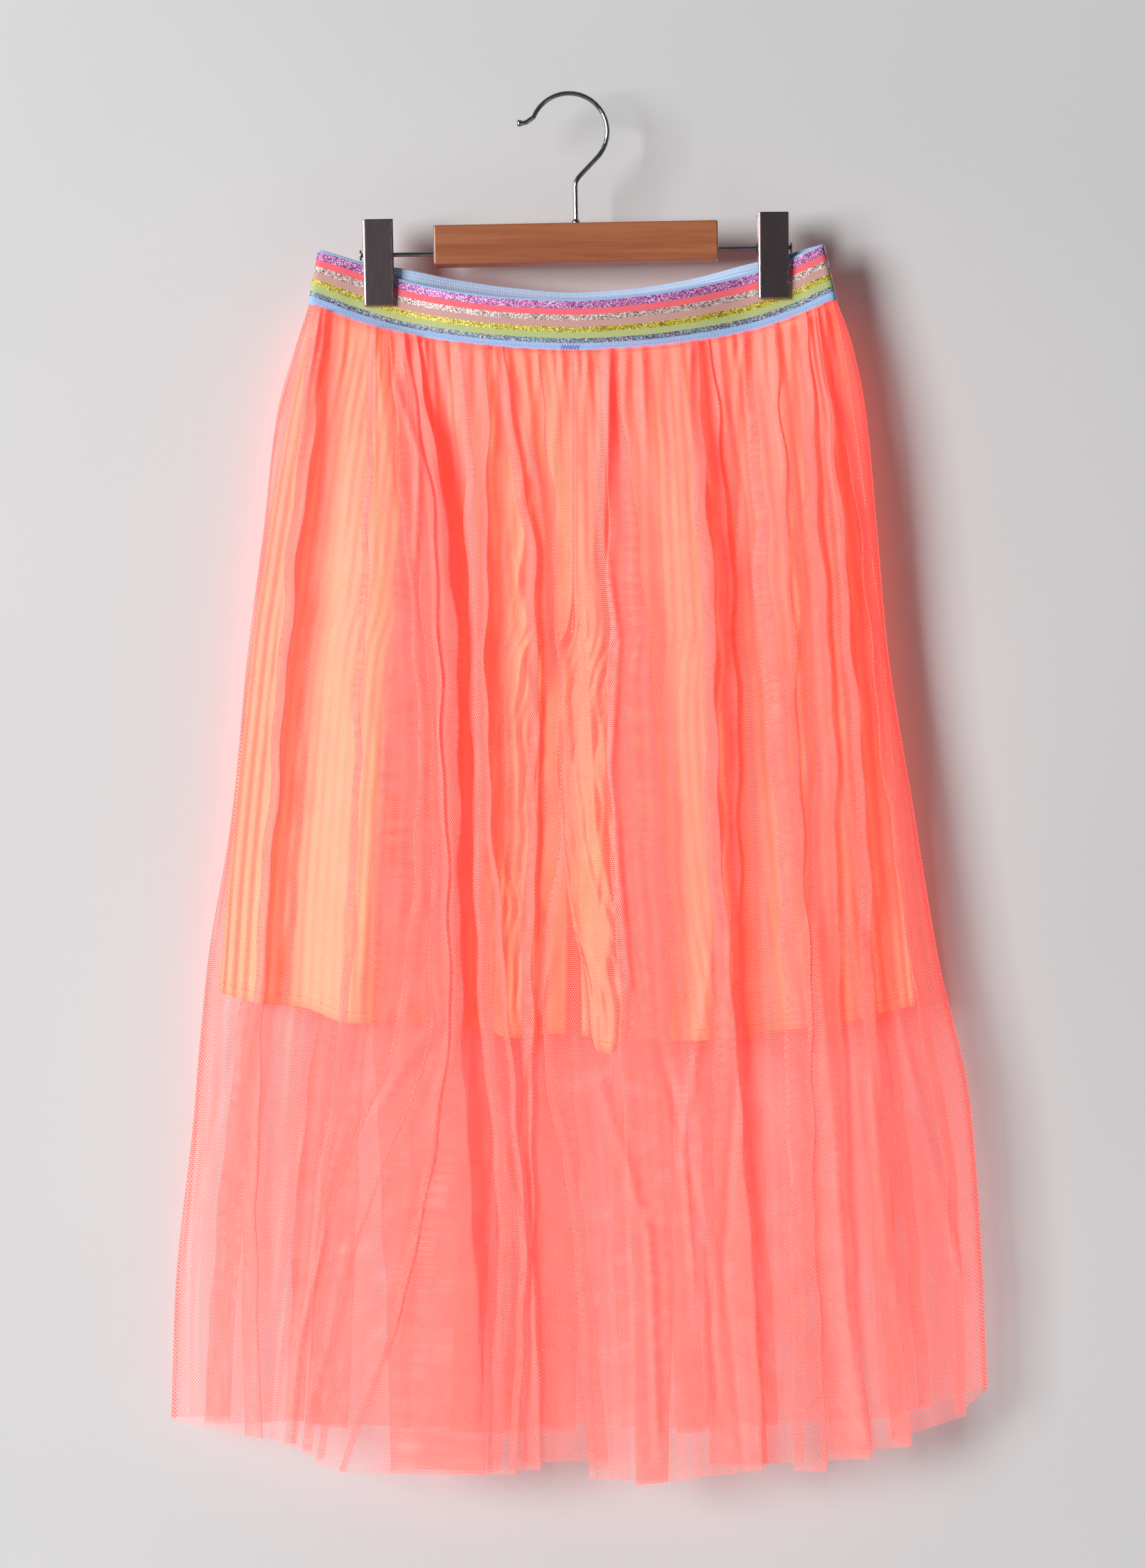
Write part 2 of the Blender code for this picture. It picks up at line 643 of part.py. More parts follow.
def leg_panel(name, right, back, hem):
    """One of the four panels: a leg's front or back, from side seam to inside seam."""
    sign = 1 if back else -1
    side_name = "right_side" if right else "left_side"
    inner_name = "right_inner" if right else "left_inner"
    hem_width = abs(getattr(LEGS[-1], side_name) - getattr(LEGS[-1], inner_name))
    columns = 2 * round(hem_width / PLEAT_PITCH)
    band_left, band_right = band_x(0.0, 1.0), band_x(1.0, 1.0)
    grid, ghosts = [], []
    for down in SHORTS_LEVELS:
        side = read_table(LEGS, "down", side_name, down)
        inner = read_table(LEGS, "down", inner_name, down)
        joined = read_table(LEGS, "down", "joined", down)
        reach = abs(inner - side)
        points = []
        for j in range(columns + 1):
            start = SHORTS_END_ROUND / reach
            end = 1 - SHORTS_MIDDLE_ROUND / reach
            share = blend(start, end, j / columns)
            x = blend(side, inner, share)
            top_x = blend(getattr(LEGS[0], side_name), getattr(LEGS[0], inner_name), share)
            hem_x = blend(getattr(LEGS[-1], side_name), getattr(LEGS[-1], inner_name), share)
            band_share = (top_x - band_left) / (band_right - band_left)
            top = net_top(band_share, back)
            height = blend(top, read_table(hem, "x", "height", hem_x), down)
            free = shorts_depth(share, 1 - share, down)
            at_band = band_open(band_share, 1.0) - LAYER_STEP
            open_by = blend(at_band, free, ease(down / SHORTS_FREE_BY))
            pleat = PLEAT_HEIGHT * ease(down / PLEATS_FULL_BY)
            pleat *= ease(min(share, 1 - share) / PLEATS_START)
            clear = 2 * LAYER_STEP + SHORTS_CLEAR * ease(down / SHORTS_CLEAR_BY) + 1.5 * pleat
            room = net_open_at(x, height, back) - clear
            open_by = min(open_by, room) + pleat * (1 if j % 2 else -1)
            points.append(Vector((x, sign * open_by, height)))
        side_seam = Vector((side, sign * SEAM_GAP / 2, points[0].z))
        row = []
        for k in range(SHORTS_END_STEPS):
            turn = math.pi / 2 * k / SHORTS_END_STEPS
            row.append(Vector((
                blend(points[0].x, side_seam.x, math.cos(turn)),
                blend(side_seam.y, points[0].y, math.sin(turn)),
                points[0].z,
            )))
        row.extend(points)
        last = points[-1]
        inner_seam = Vector((
            inner,
            blend(last.y, sign * SEAM_GAP / 2, joined),
            last.z,
        ))
        for k in reversed(range(SHORTS_END_STEPS)):
            turn = math.pi / 2 * k / SHORTS_END_STEPS
            around = Vector((
                blend(last.x, inner_seam.x, math.cos(turn)),
                blend(inner_seam.y, last.y, math.sin(turn)),
                last.z,
            ))
            along = last.lerp(inner_seam, 1 - k / SHORTS_END_STEPS)
            row.append(along.lerp(around, joined))
        grid.append(row)
        beyond = Vector((2 * row[-1].x - row[-2].x, row[-2].y, row[-2].z))
        ghosts.append((
            across_seam(row[0], row[1]),
            beyond.lerp(across_seam(row[-1], row[-2]), joined),
        ))
    if right:
        grid = [list(reversed(row)) for row in grid]
        ghosts = [(after, before) for before, after in ghosts]
    return cloth_wall(name, grid, SHORTS_WALL, "pleated_cloth", ghosts)


# ---------------------------------------------------------------- the hanger


def hang(thing, holder):
    """Fixes a piece of the hanger to the holder, which tilts it."""
    thing.parent = holder


def hook_path():
    """The middle of the hook's wire, from its tip to the end of its shank."""
    points = list(reversed(HOOK_TIP))
    radii = list(reversed(HOOK_TIP_RADII))
    for k in range(HOOK_STEPS + 1):
        angle = blend(HOOK_START, HOOK_END, k / HOOK_STEPS)
        points.append(HOOK_CENTRE + HOOK_RADIUS * Vector((math.cos(angle), 0, math.sin(angle))))
    bend = Vector((SHANK_X, 0.0, SHANK_BEND_HEIGHT))
    foot = Vector((SHANK_X, 0.0, BAR_TOP - SHANK_DEPTH))
    before = bend + (points[-1] - bend) * 0.25
    after = bend - Vector((0.0, 0.0, BEND_REACH))
    for k in range(BEND_STEPS + 1):
        share = k / BEND_STEPS
        points.append(before.lerp(bend, share).lerp(bend.lerp(after, share), share))
    points.append(foot)
    radii += [WIRE_DIAMETER / 2] * (len(points) - len(radii))
    return points, radii


def hook(holder):
    points, radii = hook_path()
    hang(tube("hanger_hook", points, radii, WIRE_SIDES, "chrome"), holder)


def ferrule(holder):
    bore = WIRE_DIAMETER / 2 + BORE_GAP
    outline = (
        (bore, 0.0),
        (FERRULE_RADIUS * 0.94, 0.0),
        (FERRULE_RADIUS, FERRULE_HEIGHT * 0.25),
        (FERRULE_RADIUS * 0.97, FERRULE_HEIGHT * 0.6),
        (FERRULE_RADIUS * 0.82, FERRULE_HEIGHT * 0.9),
        (FERRULE_RADIUS * 0.75, FERRULE_HEIGHT),
    )
    ring = turned_ring("hook_ferrule", outline, 24, "chrome")
    ring.location = Vector((SHANK_X, 0.0, BAR_TOP + SEAM_GAP)) * UNIT
    hang(ring, holder)


def wooden_bar(holder):
    """The bar, bored through for the rod and from above for the shank."""
    half_x, half_y, half_z = BAR_LENGTH / 2, BAR_DEPTH / 2, BAR_HEIGHT / 2
    mesh_data = bmesh.new()
    bmesh.ops.create_cube(mesh_data, size=2.0)
    bmesh.ops.scale(mesh_data, vec=(half_x, half_y, half_z), verts=mesh_data.verts)
    bmesh.ops.bevel(
        mesh_data, geom=mesh_data.edges[:], offset=BAR_ROUND, segments=3, profile=0.5,
        affect="EDGES",
    )
    middle = Vector((BAR_X, 0.0, BAR_TOP - half_z))
    bmesh.ops.translate(mesh_data, vec=middle, verts=mesh_data.verts)
    bar = new_object("hanger_bar", mesh_data, "wood")
    bore = WIRE_DIAMETER / 2 + BORE_GAP
    rod_height = BAR_TOP - ROD_DROP
    rod_ends = [
        Vector((BAR_X - half_x - TOOL_PAST, 0.0, rod_height)),
        Vector((BAR_X + half_x + TOOL_PAST, 0.0, rod_height)),
    ]
    rod_bore = tube("rod_bore", rod_ends, [bore] * 2, WIRE_SIDES, "wood")
    shank_ends = [
        Vector((SHANK_X, 0.0, BAR_TOP + TOOL_PAST)),
        Vector((SHANK_X, 0.0, BAR_TOP - SHANK_DEPTH - SEAM_GAP)),
    ]
    shank_bore = tube("shank_bore", shank_ends, [bore] * 2, WIRE_SIDES, "wood")
    for tool in (rod_bore, shank_bore):
        combine(bar, tool, "DIFFERENCE")
        hang(tool, holder)
    hang(bar, holder)


def rod(holder):
    """The steel rod through the bar, with a flattened head on each end."""
    height = BAR_TOP - ROD_DROP
    thin, head = WIRE_DIAMETER / 2, ROD_HEAD_RADIUS
    face = head - HEAD_EDGE
    profile = (
        (ROD_LEFT, face),
        (ROD_LEFT + HEAD_EDGE, head),
        (ROD_LEFT + ROD_HEAD_LENGTH, head),
        (ROD_LEFT + ROD_HEAD_LENGTH + HEAD_EDGE, thin),
        (ROD_RIGHT - ROD_HEAD_LENGTH - HEAD_EDGE, thin),
        (ROD_RIGHT - ROD_HEAD_LENGTH, head),
        (ROD_RIGHT - HEAD_EDGE, head),
        (ROD_RIGHT, face),
    )
    centres = [Vector((x, 0.0, height)) for x, radius in profile]
    radii = [radius for x, radius in profile]
    hang(tube("hanger_rod", centres, radii, WIRE_SIDES, "chrome"), holder)


def ear(name, x, web, hole):
    """A sheet ear with a hole for the rod, reaching from the rod to the plate's web."""
    mesh_data = bmesh.new()
    loops = []
    for side in (-CLIP_SHEET / 2, CLIP_SHEET / 2):
        for outer in (False, True):
            ring = []
            for m in range(EAR_SIDES):
                angle = 2 * math.pi * m / EAR_SIDES
                y, z = math.cos(angle), math.sin(angle)
                reach = EAR_RADIUS if outer else hole
                if outer and y < -0.3:
                    reach = min(web / -y, EAR_RADIUS / max(abs(z), 0.01))
                ring.append(mesh_data.verts.new((x + side, reach * y, reach * z)))
            loops.append(ring)
    near_in, near_out, far_in, far_out = loops
    for first, second in (
        (near_in, near_out), (near_out, far_out), (far_out, far_in), (far_in, near_in),
    ):
        for m in range(EAR_SIDES):
            n = (m + 1) % EAR_SIDES
            mesh_data.faces.new((first[m], first[n], second[n], second[m]))
    return new_object(name, mesh_data, "clip_steel")


def clip_plate(name, width, row, flip, place):
    """One jaw of a clip: a sheet bent into a shallow channel, with two ears and a lip."""
    half = width / 2
    lean_in = CLIP_BELOW_ROD * math.sin(CLIP_LEAN)
    web = row.jaw + lean_in + LIP_DEPTH
    outer = web + CLIP_SHEET
    flange = web - CLIP_FLANGE
    round_by = CLIP_EDGE_ROUND
    channel = (
        (-half, -flange), (-half, -outer + round_by), (-half + round_by, -outer),
        (half - round_by, -outer), (half, -outer + round_by), (half, -flange),
        (half - CLIP_SHEET, -flange), (half - CLIP_SHEET, -web),
        (-half + CLIP_SHEET, -web), (-half + CLIP_SHEET, -flange),
    )
    plate = extruded(name, channel, 2, -CLIP_BELOW_ROD, CLIP_ABOVE_ROD, "clip_steel")
    pieces = []
    for k, x in enumerate((-half + CLIP_SHEET / 2, half - CLIP_SHEET / 2)):
        pieces.append(ear(f"{name}_ear_{k}", x, web + CLIP_SHEET / 2, row.hole))
    into = CLIP_SHEET / 2
    lip = (
        (-half + into, -web - into), (half - into, -web - into),
        (half - into, -web + LIP_DEPTH), (-half + into, -web + LIP_DEPTH),
    )
    low = -CLIP_BELOW_ROD
    pieces.append(extruded(f"{name}_lip", lip, 2, low + into / 2, low + LIP_HEIGHT, "clip_steel"))
    turn = Matrix.Rotation(CLIP_LEAN, 4, "X")
    if flip:
        turn = Matrix.Rotation(math.pi, 4, "Z") @ turn
    for thing in (plate, *pieces):
        thing.matrix_local = place @ turn
    for piece in pieces:
        combine(plate, piece, "UNION")
    return (plate, *pieces)


def spring(name, place):
    """The coil between the two plates, round the rod."""
    radius = WIRE_DIAMETER / 2 + BORE_GAP + SPRING_WIRE / 2
    points = []
    steps = SPRING_TURNS * SPRING_STEPS
    for k in range(steps + 1):
        angle = 2 * math.pi * k / SPRING_STEPS
        x = SPRING_PITCH * (k / SPRING_STEPS - SPRING_TURNS / 2)
        points.append(Vector((x, radius * math.cos(angle), radius * math.sin(angle))))
    coil = tube(name, points, [SPRING_WIRE / 2] * len(points), SPRING_SIDES, "chrome")
    coil.matrix_local = place
    return (coil,)


def clip(row, holder):
    """A clip: front and back plate and the spring between them."""
    place = Matrix.Translation(Vector((row.x, 0.0, BAR_TOP - ROD_DROP)) * UNIT)
    turned = place @ Matrix.Rotation(math.radians(row.turn), 4, "Z")
    narrow = CLIP_WIDTH - 2 * CLIP_STEP
    things = clip_plate(f"clip_{row.name}_front", CLIP_WIDTH, row, False, turned)
    things += clip_plate(f"clip_{row.name}_back", narrow, row, True, turned)
    things += spring(f"clip_{row.name}_spring", place)
    for thing in things:
        hang(thing, holder)


# ---------------------------------------------------------------- the whole object


def build():
    for thing in list(bpy.data.objects):
        bpy.data.objects.remove(thing, do_unlink=True)
    waistband()
    net_panel("tulle_front", back=False)
    net_panel("tulle_back", back=True)
    leg_panel("shorts_left_front", False, False, LEFT_FRONT_HEM)
    leg_panel("shorts_left_back", False, True, LEFT_BACK_HEM)
    leg_panel("shorts_right_front", True, False, RIGHT_FRONT_HEM)
    leg_panel("shorts_right_back", True, True, RIGHT_BACK_HEM)
    holder = bpy.data.objects.new("hanger", None)
    bpy.context.scene.collection.objects.link(holder)
    holder.rotation_euler = (0.0, HANGER_TILT, 0.0)
    hook(holder)
    ferrule(holder)
    wooden_bar(holder)
    rod(holder)
    for row in CLIPS:
        clip(row, holder)


build()
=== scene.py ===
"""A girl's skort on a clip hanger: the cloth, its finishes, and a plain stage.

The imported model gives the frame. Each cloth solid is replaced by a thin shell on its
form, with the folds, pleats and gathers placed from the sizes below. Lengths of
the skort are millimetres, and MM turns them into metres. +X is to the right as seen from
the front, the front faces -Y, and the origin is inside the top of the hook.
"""

import math
from collections import namedtuple

import bpy
import numpy as np
from bpy.props import FloatProperty, FloatVectorProperty, IntProperty, PointerProperty
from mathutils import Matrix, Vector


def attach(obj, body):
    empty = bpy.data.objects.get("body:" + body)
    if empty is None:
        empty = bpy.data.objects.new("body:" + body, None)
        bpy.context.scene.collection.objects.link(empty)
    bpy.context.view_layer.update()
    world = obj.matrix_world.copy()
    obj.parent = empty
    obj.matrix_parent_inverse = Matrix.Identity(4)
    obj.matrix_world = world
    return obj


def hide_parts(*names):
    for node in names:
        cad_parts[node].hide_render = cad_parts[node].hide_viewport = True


bl_info = {
    "name": "Skort on a clip hanger",
    "version": (1, 0, 0),
    "blender": (4, 5, 0),
    "location": "3D View > Sidebar > Skort",
    "description": "Builds a gathered net skirt over pleated shorts on a striped elastic band",
    "category": "Object",
}

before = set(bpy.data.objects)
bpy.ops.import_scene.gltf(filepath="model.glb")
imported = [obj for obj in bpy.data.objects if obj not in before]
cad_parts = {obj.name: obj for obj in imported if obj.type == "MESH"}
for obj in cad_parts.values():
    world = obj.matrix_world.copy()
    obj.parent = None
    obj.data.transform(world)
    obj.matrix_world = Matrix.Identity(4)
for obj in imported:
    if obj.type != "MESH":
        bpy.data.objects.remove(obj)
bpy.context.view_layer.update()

MM = 0.001
FRONT, BACK = -1, 1
SEAM_LAP = 0.6  # how far above the band's lower edge the cloth starts
RIPPLE_SHIFT = 1.7  # makes the waves of a ripple start at different places
RIPPLE_LIFT = 1.4
CREASE_SHARPNESS = 1.5
OWN_SHARE = 0.56  # a thing's own colour beside how bright it looks in the studio light

# ---------------------------------------------------------------- the elastic band

BAND_HIGH = 35.0
BAND_THICK = 1.5
BAND_EDGE_ROUND = 0.35  # how far its edges round over
BAND_COLUMNS = 190
BAND_ROWS = 18
BAND_END_STEPS = 8
BAND_EDGE_STEPS = 3
PINCHED_DOWN_TO = 0.80  # share of the band's height that the clips hold flat

# The elastic band lies nearly flat: x across, heights of its edges, half its opening.
BandRow = namedtuple("BandRow", "x front_top front_bottom back_top open_top open_bottom")
BAND = (
    BandRow(-166, -101.0, -136.0, -101.0, 3.0, 3.8),
    BandRow(-151, -105.2, -142.2, -104.6, 2.6, 3.8),
    BandRow(-136, -110.0, -148.0, -109.2, 1.3, 3.8),
    BandRow(-111, -120.2, -155.0, -113.0, 1.3, 4.2),
    BandRow(-74, -128.7, -162.0, -119.5, 7.0, 8.5),
    BandRow(-39, -133.0, -166.0, -124.0, 10.5, 11.5),
    BandRow(4, -134.6, -168.0, -127.0, 12.0, 12.5),
    BandRow(45, -131.6, -166.0, -124.5, 10.5, 11.5),
    BandRow(80, -126.0, -161.6, -119.5, 7.0, 8.5),
    BandRow(119, -116.6, -153.4, -110.4, 1.3, 4.2),
    BandRow(147, -107.2, -143.6, -103.6, 1.3, 3.8),
    BandRow(157, -102.6, -139.0, -100.4, 2.4, 3.8),
    BandRow(170, -97.0, -133.0, -97.0, 3.0, 3.8),
)
BAND_LEFT_TOP, BAND_LEFT_BOTTOM = -162.5, -169.0
BAND_RIGHT_TOP, BAND_RIGHT_BOTTOM = 166.0, 174.5
BAND_END_ROUND = 3.0

# Woven stripes from the top edge down: where each ends, its colour, and its glitter's
# other colours, or none where the stripe is plain. The glitter's colours are a darker, a
# lighter and a near-white copy of the stripe's, beside a few flakes of other colours:
# painted shade, painted light and painted glints on the flakes.
Stripe = namedtuple("Stripe", "ends colour glitter")
STRIPES = (
    Stripe(0.035, "a3c4f2", ()),
    Stripe(0.180, "c05fae", ("823a80", "e795cf", "fce2f6")),
    Stripe(0.300, "ff6a75", ()),
    Stripe(0.410, "c4a39c", ("8a645e", "eedad3", "ffffff")),
    Stripe(0.535, "cf9f96", ()),
    Stripe(0.640, "c4b322", ("87790f", "e2d440", "faf3a8")),
    Stripe(0.755, "b6c680", ()),
    Stripe(0.850, "8c86a4", ("5b4a72", "6cb4b4", "ecd6e4")),
    Stripe(1.000, "a3c4f2", ()),
)
STITCHED_X = (-163.0, 169.0)
STITCH_PITCH = 2.4
STITCH_LONG = 1.6
STITCH_RISE = 0.35  # how far a stitch bows out in its middle, as a share of its width
BAND_STITCH_DOWN = 0.93  # share of the band's height
TACK_X = (-4.5, 6.5)  # a bar of purple thread at the middle of the front
TACK_DOWN = (0.88, 0.985)
TACK_LEAN = 0.5
TACK_THREADS = 13
BAND_THREAD, TACK_THREAD, HEM_THREAD = 0.36, 0.5, 0.45

# Threads and ribs, from one to the next.
RIB_PITCH = 1.1
ROW_PITCH = 1.4
LINING_ROW_PITCH = 2.2
GLITTER_FLAKES = 1500.0  # in a metre
GLITTER_STOPS = (0.0, 0.30, 0.60, 0.86)  # shares of flakes in painted shade, plain, painted light and painted glint

# ---------------------------------------------------------------- the net skirt

NET_ROWS = 96
NET_ROW_POWER = 1.1  # above 1, the rows lie closer near the band
NET_STEP = 1.5  # between columns on the flat parts
LEAST_FLAT_STEPS, LEAST_LAP_STEPS = 6, 3
TURN_STEPS = 5  # columns round each turn of a fold
LAYER_STEP = 0.8  # from the middle of the band's wall out to the net, and in to the shorts
SLIGHT_RELIEF = 2.0  # a fold that stands out less rides on the slope between its neighbours
RISE_AFTER = 0.12  # share of that way before the slope begins
FOLD_EDGE = 0.6  # how far a fold rounds past its edge, at most
FOLD_HEIGHTS = (0.0, 0.2, 0.4, 0.6, 0.8, 1.0)  # shares of the drop, for the six places
LAP_HEIGHTS = (0.0, 0.45, 1.0)
RELIEF_SHARES = (0.42, 1.30, 1.15, 1.0, 0.88, 0.80)  # of a fold's relief, at the six heights
NET_SWELL_SHARE = 0.22
NET_FREE_BY = 0.16
NET_DROP = 730.0  # from the band to the hem, about
SEW_ON_BY = 0.006  # share of the drop in which gathers and tucks come up from the seam
CREASES_BY = 0.05
NET_SIDE_FADE = 12.0  # width beside each side seam in which the folds die out
HOLE_LEVEL = -0.76  # threads cover 0.38 of flat net
CROWD_STEP = 0.62  # how fast the holes close as the net is crowded
THREAD_EDGE = 0.35  # how soft the edges of the threads are
CROWD_LIMITS = (0.5, 3.0)
LEAST_SEEN = 0.2  # the least share of its width that a turned strip shows

# The net's outline from the front and its half depth, from band to hem.
SkirtRow = namedtuple("SkirtRow", "down left right depth end_round")
SKIRT = (
    SkirtRow(0.00, -168.8, 174.3, 0.0, 4.6),
    SkirtRow(0.04, -178.0, 184.5, 7.5, 5.0),
    SkirtRow(0.10, -190.0, 193.5, 14.0, 5.5),
    SkirtRow(0.20, -198.5, 200.5, 17.5, 6.0),
    SkirtRow(0.32, -209.5, 208.0, 19.0, 6.5),
    SkirtRow(0.46, -219.5, 224.0, 20.0, 7.0),
    SkirtRow(0.60, -236.0, 240.5, 20.5, 7.5),
    SkirtRow(0.74, -245.0, 262.0, 20.5, 8.0),
    SkirtRow(0.88, -256.0, 269.5, 20.5, 8.0),
    SkirtRow(1.00, -259.0, 273.0, 20.5, 8.0),
)
NET_SIDE_HEMS = (-863.0, -843.0)

# Knife folds, left to right. x of the edge that shows at six heights, how far the cloth
# laps under it at the top, middle and hem, which side lies on top, how far that side
# stands out, and the height of the cut edge on each side. Last, where not all, the share
# of the way from the fold before over which the cloth rises to this one.
NetFold = namedtuple(
    "NetFold",
    "band hips thigh knee shin hem lap_top lap_mid lap_hem over relief hem_left hem_right rise_by",
    defaults=(1.0,),
)
FOLD_PLACES, FOLD_LAPS = NetFold._fields[:6], NetFold._fields[6:9]
LEFT, RIGHT = "LEFT", "RIGHT"
FRONT_FOLDS = (
    NetFold(-157, -172, -187, -196, -202, -198, 9, 6, 11, LEFT, 11.0, -872, -872),
    NetFold(-128, -133, -138, -146, -164, -184, 3, 4, 8, RIGHT, 1.8, -876, -877),
    NetFold(-116, -104, -96, -108, -156, -172, 0.6, 0.8, 6, RIGHT, 1.5, -880, -882),
    NetFold(-110, -95, -88, -88, -137, -163, 0.6, 0.8, 5, RIGHT, 1.8, -885, -888),
    NetFold(-105, -86, -80, -77, -98, -144, 0.6, 0.8, 4, LEFT, 1.8, -892, -893),
    NetFold(-99, -76, -70, -69, -60, -54, 12, 54, 60, LEFT, 11.6, -895, -893, 0.55),
    NetFold(-74, -64, -62, -56, -45, -52, 5, 6, 8, RIGHT, 4.0, -893, -895),
    NetFold(-52, -53, -50, -38, -28, -34, 3, 3, 4, LEFT, 9.0, -895, -893),
    NetFold(-43, -22, -20, -24, -22, -18, 6, 5, 10, LEFT, 4.5, -892, -888),
    NetFold(-20, -8, -6, -16, 4, 14, 0.6, 0.8, 12, RIGHT, 1.9, -886, -898),
    NetFold(22, 26, 27, 34, 41, 44, 6, 34, 20, RIGHT, 9.0, -900, -902),
    NetFold(84, 92, 97, 106, 118, 125.6, 6, 8, 34, LEFT, 12.0, -891, -888),
    NetFold(91, 105, 109, 112.5, 121.5, 128.5, 3, 4, 4, LEFT, 2.5, -889, -889),
    NetFold(114, 120, 132, 140, 143, 146, 4, 14, 6, RIGHT, 1.5, -888, -893),
    NetFold(136, 142, 150, 156, 160, 167, 2, 2, 3, LEFT, 1.5, -893, -886),
    NetFold(154, 164, 172, 176, 182, 196, 4, 14, 26, LEFT, 9.5, -885, -880),
    NetFold(161, 178, 190, 198, 208, 222, 2, 5, 12, LEFT, 9.5, -878, -874),
    NetFold(166, 188, 204, 222, 246, 252, 3, 7, 6, RIGHT, 3.0, -860, -858),
)
BACK_FOLDS = (
    NetFold(-146, -168, -182, -198, -214, -222, 5, 12, 16, LEFT, 3.5, -864, -868),
    NetFold(-128, -142, -150, -163, -178, -186, 4, 9, 12, RIGHT, 3.0, -868, -866),
    NetFold(-110, -118, -128, -132, -140, -146, 6, 20, 26, LEFT, 4.5, -874, -870),
    NetFold(-84, -86, -92, -100, -106, -112, 3, 5, 8, RIGHT, 2.5, -872, -874),
    NetFold(-62, -60, -66, -64, -70, -78, 5, 16, 20, RIGHT, 4.0, -870, -876),
    NetFold(-34, -30, -32, -38, -36, -30, 4, 8, 12, LEFT, 3.0, -877, -872),
    NetFold(-8, -6, 0, 2, 6, 4, 5, 22, 26, LEFT, 4.5, -876, -870),
    NetFold(22, 24, 22, 28, 30, 36, 3, 6, 8, RIGHT, 3.0, -870, -873),
    NetFold(46, 52, 56, 62, 64, 72, 4, 14, 18, RIGHT, 4.0, -872, -877),
    NetFold(76, 82, 90, 92, 100, 102, 4, 9, 12, LEFT, 3.0, -876, -871),
    NetFold(100, 108, 112, 120, 130, 138, 5, 18, 24, LEFT, 4.5, -872, -868),
    NetFold(124, 134, 142, 150, 160, 172, 3, 6, 8, RIGHT, 3.0, -867, -868),
    NetFold(142, 158, 168, 182, 198, 206, 4, 10, 14, RIGHT, 3.5, -865, -862),
    NetFold(158, 180, 192, 206, 226, 238, 3, 6, 8, LEFT, 2.5, -858, -856),
)

# Pinched tucks where the net is sewn on: where each starts, how far it leans in 100 mm,
# how long it is, how far it stands out and how far to each side.
Tuck = namedtuple("Tuck", "x lean long height reach")
TUCK_SPREAD = 150.0  # how far down a tuck is twice as wide
TUCK_SHARPNESS = 1.3
TUCKS = (
    Tuck(-174, -18, 70, 3.5, 6),
    Tuck(-161, -14, 210, 4.5, 6),
    Tuck(-144, -10, 60, 3.5, 5),
    Tuck(-131, 0, 35, 3, 5),
    Tuck(-126, 12, 150, 4.5, 7),
    Tuck(-106, -4, 50, 3.5, 5),
    Tuck(-94, 14, 120, 5, 7),
    Tuck(-82, 6, 45, 4, 5),
    Tuck(-71, 8, 150, 4.5, 6),
    Tuck(-64, -6, 60, 3.5, 5),
    Tuck(-56, 10, 130, 4, 6),
    Tuck(-46, -8, 45, 3.5, 5),
    Tuck(-40, 6, 90, 4, 5),
    Tuck(-30, 12, 170, 4.5, 6),
    Tuck(-19, -4, 55, 3.5, 5),
    Tuck(-10, 6, 35, 3, 4),
    Tuck(-4, -6, 120, 4, 5),
    Tuck(6, 2, 50, 3.5, 5),
    Tuck(13, -8, 75, 4, 5),
    Tuck(27, -4, 200, 4.5, 6),
    Tuck(38, -4, 60, 3.5, 5),
    Tuck(47, 6, 110, 4, 6),
    Tuck(60, 4, 45, 3.5, 5),
    Tuck(72, 12, 140, 4, 7),
    Tuck(80, -6, 50, 4, 5),
    Tuck(97, 10, 110, 4.5, 6),
    Tuck(106, 4, 40, 3.5, 5),
    Tuck(114, -10, 90, 4.5, 6),
    Tuck(125, 8, 55, 3.5, 5),
    Tuck(132, 12, 160, 4, 6),
    Tuck(143, 8, 45, 3.5, 5),
    Tuck(154, 16, 130, 4.5, 6),
    Tuck(166, 10, 60, 3.5, 5),
)

# How much net is gathered into each millimetre, beside the folds, from left to right.
Fullness = namedtuple("Fullness", "x ratio")
FULLNESS = (
    Fullness(-260, 0.75), Fullness(-200, 0.75), Fullness(-175, 0.82), Fullness(-158, 0.78),
    Fullness(-122, 0.80), Fullness(-108, 1.4), Fullness(-62, 1.45), Fullness(-54, 0.8),
    Fullness(-36, 0.8), Fullness(-14, 1.1), Fullness(20, 1.15), Fullness(30, 1.4),
    Fullness(60, 1.4), Fullness(80, 1.2), Fullness(115, 1.3), Fullness(135, 1.45),
    Fullness(150, 0.95), Fullness(165, 0.95), Fullness(190, 1.2), Fullness(235, 0.85),
    Fullness(273, 0.75),
)
HEM_THINNING = 0.25  # how much less of it there is at the hem, where it fans out
THIN_FROM, THIN_OVER = 0.78, 0.20  # where that starts, and how far it takes, as shares of the drop

# Short gathers where the net is sewn on, and long thin creases that run down the cloth.
GATHER_PERIODS = (7.9, 11.4, 16.9, 27.0)
GATHER_HEIGHT = 2.2
GATHER_SHARE = (0.045, 0.17)  # shares of the drop in which the short and long ones fade
WANDER_PERIODS = (61.0, 107.0, 260.0)
WANDER_WIDTH = (2.2, 1.0)  # how far a fold's edge strays to either side, at band and hem
WANDER_RUN, WANDER_SHIFT = 740.0, 83.7  # length of an edge, and how its wave shifts from fold to fold
WANDER_FADE = (0.08, 0.10)  # shares of the drop, at band and hem
GATHER_SHIFTS = (90.0, 20.0, 50.0)  # for the gathers' lengths and heights, and the creases
CREASE_PERIODS = (7.3, 12.1, 21.7, 43.0)
CREASE_HEIGHT = 0.32

